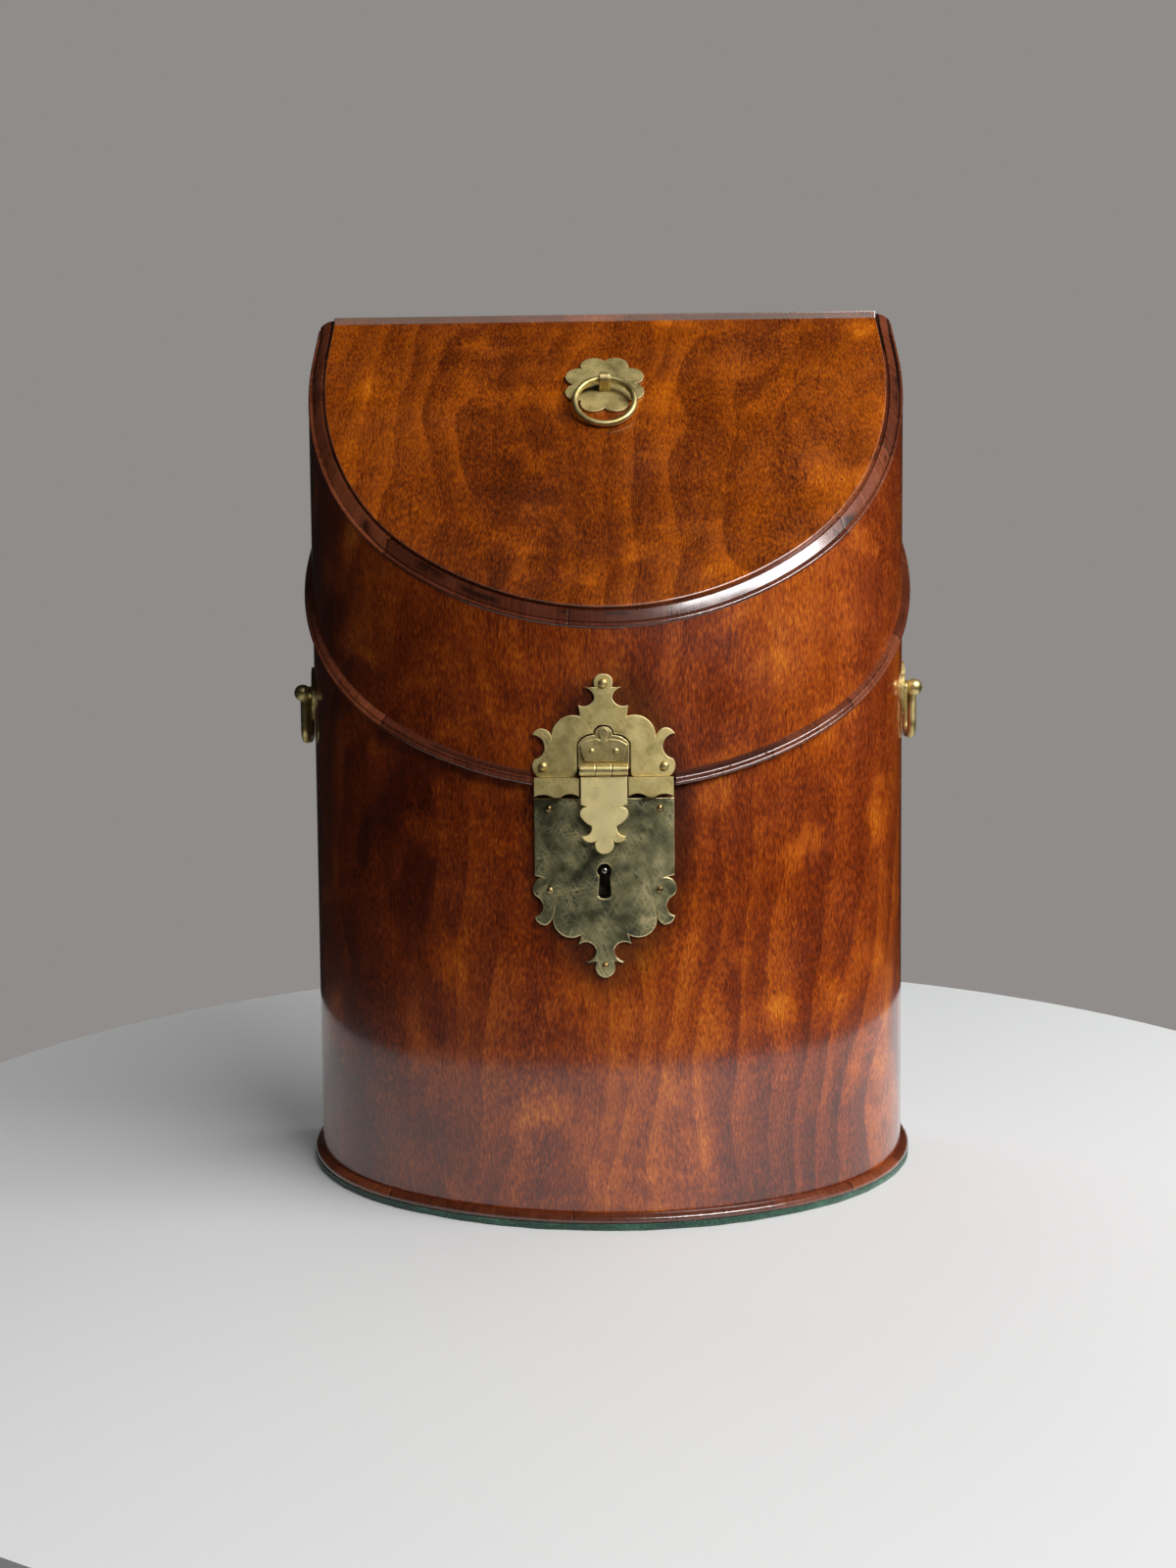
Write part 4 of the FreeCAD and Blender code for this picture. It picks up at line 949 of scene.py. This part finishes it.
@dataclass
class LockSet:
    """Lock plate, lid plate, straps and hasp on the front of the box, with lengths in mm."""

    finishes: Finishes
    middle: float = -1.4
    lock_top: float = 143.73
    lid_base: float = 150.58
    knuckle_z: float = 152.98
    knuckle_y: float = -57.3
    knuckle_radius: float = 1.9
    knuckle_half: float = 7.9
    knuckle_split: float = 2.6
    knuckle_gap: float = 0.12
    flap_back: float = -56.4
    flap_thick: float = 1.2
    leaf_back: float = -54.0
    leaf_thick: float = 1.2
    keyhole_drop: float = 24.0
    keyhole_radius: float = 2.4
    keyhole_foot: float = 8.8
    neck: float = 1.68
    flare: float = 2.11
    knuckle_sides: int = 48
    knuckle_edge: float = 0.3
    relief_thick: float = 0.6
    relief_sunk: float = 0.05

    def keyhole(self) -> list[Pair]:
        """Draws the round head and flared foot of the keyhole.

        Returns:
            Its outline below the plate's top, in mm.
        """
        drop = math.sqrt(self.keyhole_radius ** 2 - self.neck ** 2)
        low = -self.keyhole_drop - self.keyhole_foot
        # the corners of the foot are filed off and its sole is a little round
        return mirrored((0.0, -self.keyhole_drop + self.keyhole_radius), [
            (self.keyhole_radius, -self.keyhole_drop, self.neck, -self.keyhole_drop - drop),
            (self.flare, low + 0.6),
            (self.flare * 0.72, low),
            (0.0, low - 0.35),
        ])

    def barrel(self, name: str, left: float, right: float) -> Piece:
        """Models one knuckle of the hasp's hinge with rounded ends.

        Args:
            name: name of the knuckle.
            left: its left end from the middle of the lock, in mm.
            right: its right end, in mm.

        Returns:
            The knuckle.
        """
        deselect()
        bpy.ops.mesh.primitive_cylinder_add(
            vertices=self.knuckle_sides, radius=self.knuckle_radius * MM, depth=(right - left) * MM,
            rotation=(0.0, math.pi / 2, 0.0),
            location=((self.middle + (left + right) / 2) * MM, self.knuckle_y * MM, self.knuckle_z * MM))
        knuckle = bpy.context.object
        knuckle.name = name
        bpy.ops.object.transform_apply(location=True, rotation=True, scale=True)
        ease_edges(knuckle, self.knuckle_edge)
        return knuckle

    def plates(self) -> None:
        """Models the two fretted plates and the straps."""
        lock = SheetBrass("fretted_lock_plate", mirrored((0, 0), [
            (23.1, 0), (23.1, -25.6), (20.7, -26.3), (23.6, -28.9, 22.7, -32.5), (20.5, -36.4, 23.1, -39.2),
            (21.9, -41.4, 19.3, -42.0), (17.9, -40.8, 17.0, -38.9), (14.1, -45.3, 7.9, -45.2), (8.7, -48.4),
            (5.0, -47.8, 3.0, -50.0), (3.7, -52.4, 6.2, -54.1), (2.8, -54.0), (3.0, -57.2, 0, -59.4),
        ]), (self.middle, self.lock_top), bevel=0.45, holes=[self.keyhole()]).build()
        dress(lock, self.finishes.special["lock"])
        seat(lock, Body.CARCASE, Slot.PLATE_BRASS, "lock_plate")
        upper = SheetBrass("fretted_lid_plate", mirrored((0, 33.6), [
            (2.9, 32.0, 2.7, 29.3), (6.1, 29.2), (3.7, 27.8, 3.0, 25.6), (5.0, 23.4, 8.2, 23.5), (7.6, 19.8),
            (14.0, 19.0, 17.1, 13.2), (18.4, 15.2, 20.6, 16.0), (22.3, 15.3, 23.4, 13.9),
            (19.4, 10.2, 22.6, 5.9), (23.4, 2.6, 21.2, 0), (10.2, 0), (9.2, 0.4, 8.8, 1.4), (8.8, 11.0),
            (6.4, 13.4, 3.4, 14.1), (2.4, 16.2, 0, 17.0),
        ]), (self.middle, self.lid_base)).build()
        dress(upper, self.finishes.made[Slot.PLATE_BRASS])
        seat(upper, Body.LID, Slot.PLATE_BRASS, "upper_plate")
        straps = merged_copy("rim_straps", "bent_rim_straps")
        # the rounded top fold is marked pale: rubbed bright and a painted highlight
        ease_edges(straps, width=0.35, rub_and_sheen=0.95)
        dress(straps, self.finishes.made[Slot.PLATE_BRASS])
        seat(straps, Body.LID, Slot.PLATE_BRASS, "rim_straps")

    def hasp(self) -> None:
        """Models the hasp's fixed leaf in two levels, its flap and the knuckles."""
        datum = (self.middle, self.knuckle_z)
        base = SheetBrass("leaf_base", mirrored((0, 14.1), [
            (1.95, 13.4, 3.0, 11.3), (6.1, 10.55, 8.4, 8.4), (8.4, 0.4), (0, 0.4),
        ]), datum, self.leaf_thick, bevel=0.3, back_y=self.leaf_back).build()
        relief = SheetBrass("leaf_relief", mirrored((0, 13.7), [
            (1.65, 12.1, 1.05, 10.6), (1.1, 9.7), (2.2, 10.05, 3.4, 9.9), (6.0, 9.2, 7.8, 8.0),
            (7.2, 5.6, 6.3, 2.6), (0, 2.6),
        ]), datum, self.relief_thick, bevel=0.25,
            back_y=self.leaf_back - self.leaf_thick + self.relief_sunk).build()
        gap = self.knuckle_split + self.knuckle_gap
        sides = [
            self.barrel("left_knuckle", -self.knuckle_half, -gap),
            self.barrel("right_knuckle", gap, self.knuckle_half)]
        leaf = joined("cast_hasp_leaf", base, relief, *sides)
        dress(leaf, self.finishes.made[Slot.WORN_BRASS])
        seat(leaf, Body.LID, Slot.WORN_BRASS, "hasp_leaf")
        flap = SheetBrass("flap", mirrored((0, -0.6), [
            (2.3, -0.6), (2.3, -2.2), (7.6, -2.2), (7.6, -11.2), (5.8, -12.0), (7.8, -13.5, 7.2, -15.8),
            (5.9, -17.2, 4.2, -18.2), (4.7, -20.6, 7.3, -21.6), (5.2, -23.6, 2.8, -23.2),
            (2.4, -26.4, 0, -27.4),
        ]), datum, self.flap_thick, bevel=0.35, back_y=self.flap_back).build()
        # the flap wears the paler brass that paints the window's light on it
        dress(flap, self.finishes.special["flap"])
        middle = self.barrel("middle_knuckle", -self.knuckle_split, self.knuckle_split)
        dress(middle, self.finishes.made[Slot.WORN_BRASS])
        whole = joined("cast_hasp_flap", flap, middle)
        seat(whole, Body.HASP, Slot.WORN_BRASS, "hasp_flap")

    def post(self) -> None:
        """Rounds the tip of the pin in the keyhole and dulls the heads of the lock's pins."""
        pin = merged_copy("key_post", "round_tipped_key_post")
        ease_edges(pin, width=0.7, segments=5)
        dress(pin, self.finishes.special["post"])
        seat(pin, Body.CARCASE, Slot.STEEL, "key_post")
        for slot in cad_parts["lock_plate_pins"].material_slots:
            slot.material = self.finishes.special["pin"]

    def build(self) -> None:
        """Models and dresses the whole set."""
        self.plates()
        self.hasp()
        self.post()


@dataclass
class EasedParts:
    """Plates and boards whose CAD shape is right and whose edges are softened by filing or wear.

    A row of parts ends with the width of the rounding in mm and how far it is rubbed and painted as highlight
    or reflection.
    """

    finishes: Finishes
    parts: tuple[tuple[str, str, Body, Slot, float, float], ...] = (
        ("scalloped_rosette", "ring_rosette", Body.LID, Slot.PLATE_BRASS, 0.28, 0.7),
        ("lobed_plate_left", "handle_plate_left", Body.CARCASE, Slot.PLATE_BRASS, 0.28, 0.7),
        ("lobed_plate_right", "handle_plate_right", Body.CARCASE, Slot.PLATE_BRASS, 0.28, 0.7),
        ("arched_ring_staple", "ring_staple", Body.LID, Slot.WORN_BRASS, 0.25, 0.6),
        ("figured_lid_panel", "lid_panel", Body.LID, Slot.FIGURED, 0.45, 0.1),
        ("lid_back", "lid_back_board", Body.LID, Slot.MAHOGANY, 0.4, 0.45),
        ("carcase_back", "back_board", Body.CARCASE, Slot.MAHOGANY, 0.4, 0.2),
    )
    lip_y: float = 52.0
    lip_z: float = 322.0
    lip_front: float = 0.42
    lip_top: float = 0.3
    face_front: float = -0.9
    face_back: float = 0.5

    def build(self) -> None:
        """Copies each part, rounds its edges and dresses it."""
        for name, node, body, slot, width, rub_and_sheen in self.parts:
            piece = merged_copy(node, name)
            ease_edges(piece, width, rub_and_sheen=rub_and_sheen)
            if node == "lid_back_board":
                self.paint_lip_reflection(piece)
            dress(piece, self.finishes.made[slot])
            seat(piece, body, slot, node)

    def paint_lip_reflection(self, piece: Piece) -> None:
        """Marks the front and top of the thin lip behind the lid panel for a painted reflection of the grey
        room.

        Args:
            piece: back board of the lid, with its edges eased.
        """
        mark = piece.data.attributes["edge"].data
        for face in piece.data.polygons:
            on_lip = face.center.z > self.lip_z * MM and face.center.y > self.lip_y * MM
            if on_lip and face.normal.y < self.face_back:
                mark[face.index].value = self.lip_front if face.normal.y < self.face_front else self.lip_top


@dataclass
class Mouldings:
    """Cross-grained mouldings round the lid, its rim and the foot, with lengths in mm.

    A row of names ends with the depths inside the plan of its quirks, darkened with dirt and
    painted shade.
    """

    finishes: Finishes
    names: tuple[tuple[str, str, Body, tuple[float, ...]], ...] = (
        ("cross_grain_lid_moulding", "lid_moulding", Body.LID, (1.15, 1.9, 5.3, 6.6)),
        ("cross_grain_rim_bead", "rim_bead", Body.LID, (-1.8,)),
        ("cross_grain_foot_bead", "base_bead", Body.CARCASE, ()),
    )
    quirk_reach: float = 0.07
    quirk_dirt_and_shade: float = 0.9
    crease: float = 28.0
    worn_y: float = 49.5
    end_reach: float = 0.1
    edge_z: float = 324.7
    slope: float = 49.34
    width: float = 6.6
    rise: float = 3.5
    least_share: float = 0.1

    def build(self) -> None:
        """Copies each moulding, merges it and measures its run for the veneer joints."""
        for name, node, body, quirks in self.names:
            piece = merged_copy(node, name)
            run = piece.data.attributes.new("run", "FLOAT", "POINT")
            dirt_and_shade = piece.data.attributes.new("quirk", "FLOAT", "POINT")
            for vertex in piece.data.vertices:
                x, y = vertex.co.x / MM, vertex.co.y / MM
                run.data[vertex.index].value = PLAN.run(x, y)
                depth = PLAN.depth(x, y)
                # a point in a quirk is darkened with dirt and painted shade
                in_quirk = any(abs(depth - q) < self.quirk_reach for q in quirks)
                dirt_and_shade.data[vertex.index].value = self.quirk_dirt_and_shade if in_quirk else 0.0
            if node == "lid_moulding":
                self.wear_ends(piece)
            smooth(piece, self.crease)
            dress(piece, self.finishes.made[Slot.CROSS_GRAIN])
            seat(piece, body, Slot.CROSS_GRAIN, node)

    def wear_ends(self, piece: Piece) -> None:
        """Rounds the two back ends of the lid's moulding, which hands and wax have filled and worn.

        Args:
            piece: merged moulding with its section still sharp.
        """
        with editing(piece):
            bpy.ops.mesh.bisect(plane_co=(0.0, self.worn_y * MM, 0.0), plane_no=(0.0, 1.0, 0.0))
        upright = math.cos(math.radians(self.slope))
        for vertex in piece.data.vertices:
            across = min(1.0, max(0.0, PLAN.depth(vertex.co.x / MM, vertex.co.y / MM) / self.width))
            height = (vertex.co.z / MM - self.edge_z) * upright
            at_end = vertex.co.y > (PLAN.back_y - self.end_reach) * MM
            if at_end and height > self.least_share * self.rise:
                domed = self.rise * math.sqrt(1.0 - (1.0 - across) ** 2)
                vertex.co.z = (self.edge_z + max(height, domed) / upright) * MM


@dataclass
class BaizeFoot:
    """Green cloth glued under the foot, with a soft uneven edge; lengths in mm, angles in degrees."""

    finishes: Finishes
    fray: float = 0.5
    fray_pitch: float = 3.0
    edge: float = 0.6
    corner: float = 50.0
    crease: float = 60.0
    glued: float = 0.1
    upward: float = 0.9

    def build(self) -> None:
        """Models the cloth from the foot's outline and frays its edge."""
        piece = merged_copy("baize_foot", "baize_under_foot")
        low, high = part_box("baize_foot")
        with editing(piece):
            bpy.ops.mesh.dissolve_limited(angle_limit=math.radians(FLAT_DEGREES))
            bpy.ops.mesh.select_mode(type="EDGE")
            bpy.ops.mesh.select_all(action="DESELECT")
            bpy.ops.mesh.edges_select_sharp(sharpness=math.radians(self.corner))
            bpy.ops.mesh.bevel(offset=self.edge * MM, segments=3, profile=0.5, clamp_overlap=True)
            bpy.ops.mesh.select_all(action="SELECT")
            bpy.ops.mesh.quads_convert_to_tris()
        for vertex in piece.data.vertices:
            stir = noise.noise(vertex.co * (1000 / self.fray_pitch)) * self.fray * MM
            if vertex.co.z < high[2] - self.glued * MM:
                out = Vector((vertex.co.x, vertex.co.y, 0.0)).normalized()
                vertex.co += out * stir
        smooth(piece, self.crease)
        dress(piece, self.finishes.made[Slot.BAIZE])
        seat(piece, Body.CARCASE, Slot.BAIZE, "baize_foot")


@dataclass(frozen=True)
class Lamp:
    """A soft area lamp that faces the box, with its place and size in mm and its power in watts.

    Polished surfaces show it if in_polish is true, and it lights matt ones if on_matt is.
    """

    name: str
    place: Triple
    size: Pair
    watts: float
    in_polish: bool = True
    on_matt: bool = True
    aim: Triple = (0.0, 0.0, 160.0)

    def build(self) -> None:
        """Adds the lamp to the scene."""
        data = bpy.data.lights.new(self.name, "AREA")
        data.shape = "RECTANGLE"
        data.size, data.size_y = self.size[0] * MM, self.size[1] * MM
        data.energy = self.watts
        lamp = bpy.data.objects.new(self.name, data)
        bpy.context.collection.objects.link(lamp)
        lamp.visible_glossy = self.in_polish
        lamp.visible_diffuse = self.on_matt
        lamp.location = Vector(self.place) * MM
        lamp.rotation_euler = (Vector(self.aim) * MM - lamp.location).to_track_quat("-Z", "Y").to_euler()


@dataclass
class Studio:
    """Pale round floor, grey surround, soft lamps and the camera of the photograph.

    Lengths are in mm and the angles of the camera in radians. The range of the room says how far
    back it turns from dark to grey, and the two levels.
    """

    lamps: tuple[Lamp, ...] = (
        Lamp("window", (950.0, -720.0, 960.0), (1500.0, 650.0), 36.5, in_polish=False),
        Lamp("window_glint", (720.0, -840.0, 1040.0), (900.0, 500.0), 24.0, on_matt=False),
        Lamp("side_wall", (1200.0, 250.0, 500.0), (1200.0, 900.0), 6.0, in_polish=False),
        Lamp("skylight", (-450.0, 1050.0, 1150.0), (1200.0, 900.0), 4.0, in_polish=False),
    )
    room_range: tuple[float, float, float, float] = (0.93, 0.99, 0.007, 0.26)
    soft_level: float = 0.085
    surround: str = "#8f8c8a"
    eye: Triple = (-0.3, -486.2, 171.6)
    pitch: float = 0.0539
    roll: float = 0.0095
    yaw: float = -0.01456
    focal_px: float = 1348.75
    long_side_px: float = 1600.0
    sensor: float = 36.0
    nearest: float = 10.0
    floor_grey: str = "#d4d5d5"
    floor_sides: int = 160
    floor_thick: float = 30.0
    floor_radius: float = 325.0
    floor_x: float = 8.0
    floor_y: float = 70.0

    def build(self) -> None:
        """Sets up floor, light and camera."""
        self.floor()
        self.light()
        self.camera()

    def floor(self) -> None:
        """Models a pale round slab as the floor."""
        deselect()
        bpy.ops.mesh.primitive_circle_add(
            vertices=self.floor_sides, radius=self.floor_radius * MM, fill_type="NGON",
            location=(self.floor_x * MM, self.floor_y * MM, 0))
        slab = bpy.context.object
        slab.name = "floor"
        with editing(slab):
            bpy.ops.mesh.extrude_region_move(TRANSFORM_OT_translate={"value": (0, 0, -self.floor_thick * MM)})
            bpy.ops.mesh.select_all(action="SELECT")
            bpy.ops.mesh.normals_make_consistent(inside=False)
        material, tree = new_tree("pale_floor")
        shader = add_node(
            tree, "BsdfPrincipled", {"Base Color": linear(self.floor_grey), "Roughness": 0.55})
        add_node(tree, "OutputMaterial", None, {"Surface": shader})
        dress(slab, material)

    def light(self) -> None:
        """Sets up the lamps and a room that mirrors grey from behind the box and dark from before it."""
        world = bpy.data.worlds.new("grey_room")
        bpy.context.scene.world = world
        world.use_nodes = True
        tree = world.node_tree
        tree.nodes.clear()
        way = add_node(tree, "TexCoord")
        part = add_node(tree, "SeparateXYZ", None, {0: way.outputs["Generated"]})
        level = add_node(
            tree, "MapRange", {"interpolation_type": "SMOOTHSTEP", "range": self.room_range},
            {"Value": part.outputs[1]})
        room = add_node(tree, "Background", {"Color": (1.0, 0.98, 0.96, 1.0)}, {"Strength": level})
        soft = add_node(tree, "Background", {"Color": (1.0, 1.0, 1.0, 1.0), "Strength": self.soft_level})
        plain = add_node(tree, "Background", {"Color": linear(self.surround), "Strength": 1.0})
        path = add_node(tree, "LightPath")
        mirror = add_node(
            tree, "Math", {"operation": "MAXIMUM"},
            {0: path.outputs["Is Glossy Ray"], 1: path.outputs["Is Transmission Ray"]})
        around = add_node(tree, "MixShader", None, {0: mirror, 1: soft, 2: room})
        seen = add_node(tree, "MixShader", None, {0: path.outputs["Is Camera Ray"], 1: around, 2: plain})
        add_node(tree, "OutputWorld", None, {"Surface": seen})
        for lamp in self.lamps:
            lamp.build()

    def camera(self) -> None:
        """Stands the camera where the photograph was taken."""
        cos_p, sin_p = math.cos(self.pitch), math.sin(self.pitch)
        ahead = Vector((math.sin(self.yaw) * cos_p, math.cos(self.yaw) * cos_p, -sin_p))
        right = Vector((math.cos(self.yaw), -math.sin(self.yaw), 0.0))
        up = right.cross(ahead)
        cos_r, sin_r = math.cos(self.roll), math.sin(self.roll)
        across = right * cos_r - up * sin_r
        above = right * sin_r + up * cos_r
        data = bpy.data.cameras.new("camera")
        data.sensor_width = self.sensor
        data.lens = self.focal_px / self.long_side_px * data.sensor_width
        data.clip_start = self.nearest * MM
        camera = bpy.data.objects.new("camera", data)
        bpy.context.collection.objects.link(camera)
        turn = Matrix((across, above, -ahead)).transposed().to_4x4()
        camera.matrix_world = Matrix.Translation(Vector(self.eye) * MM) @ turn
        bpy.context.scene.camera = camera
        bpy.context.scene.view_settings.view_transform = "Standard"


def main() -> None:
    """Builds the scene in order."""
    finishes = Finishes.mix()
    finishes.on_nodes()
    LockSet(finishes).build()
    EasedParts(finishes).build()
    Mouldings(finishes).build()
    BaizeFoot(finishes).build()
    Studio().build()


if __name__ == "__main__":
    main()
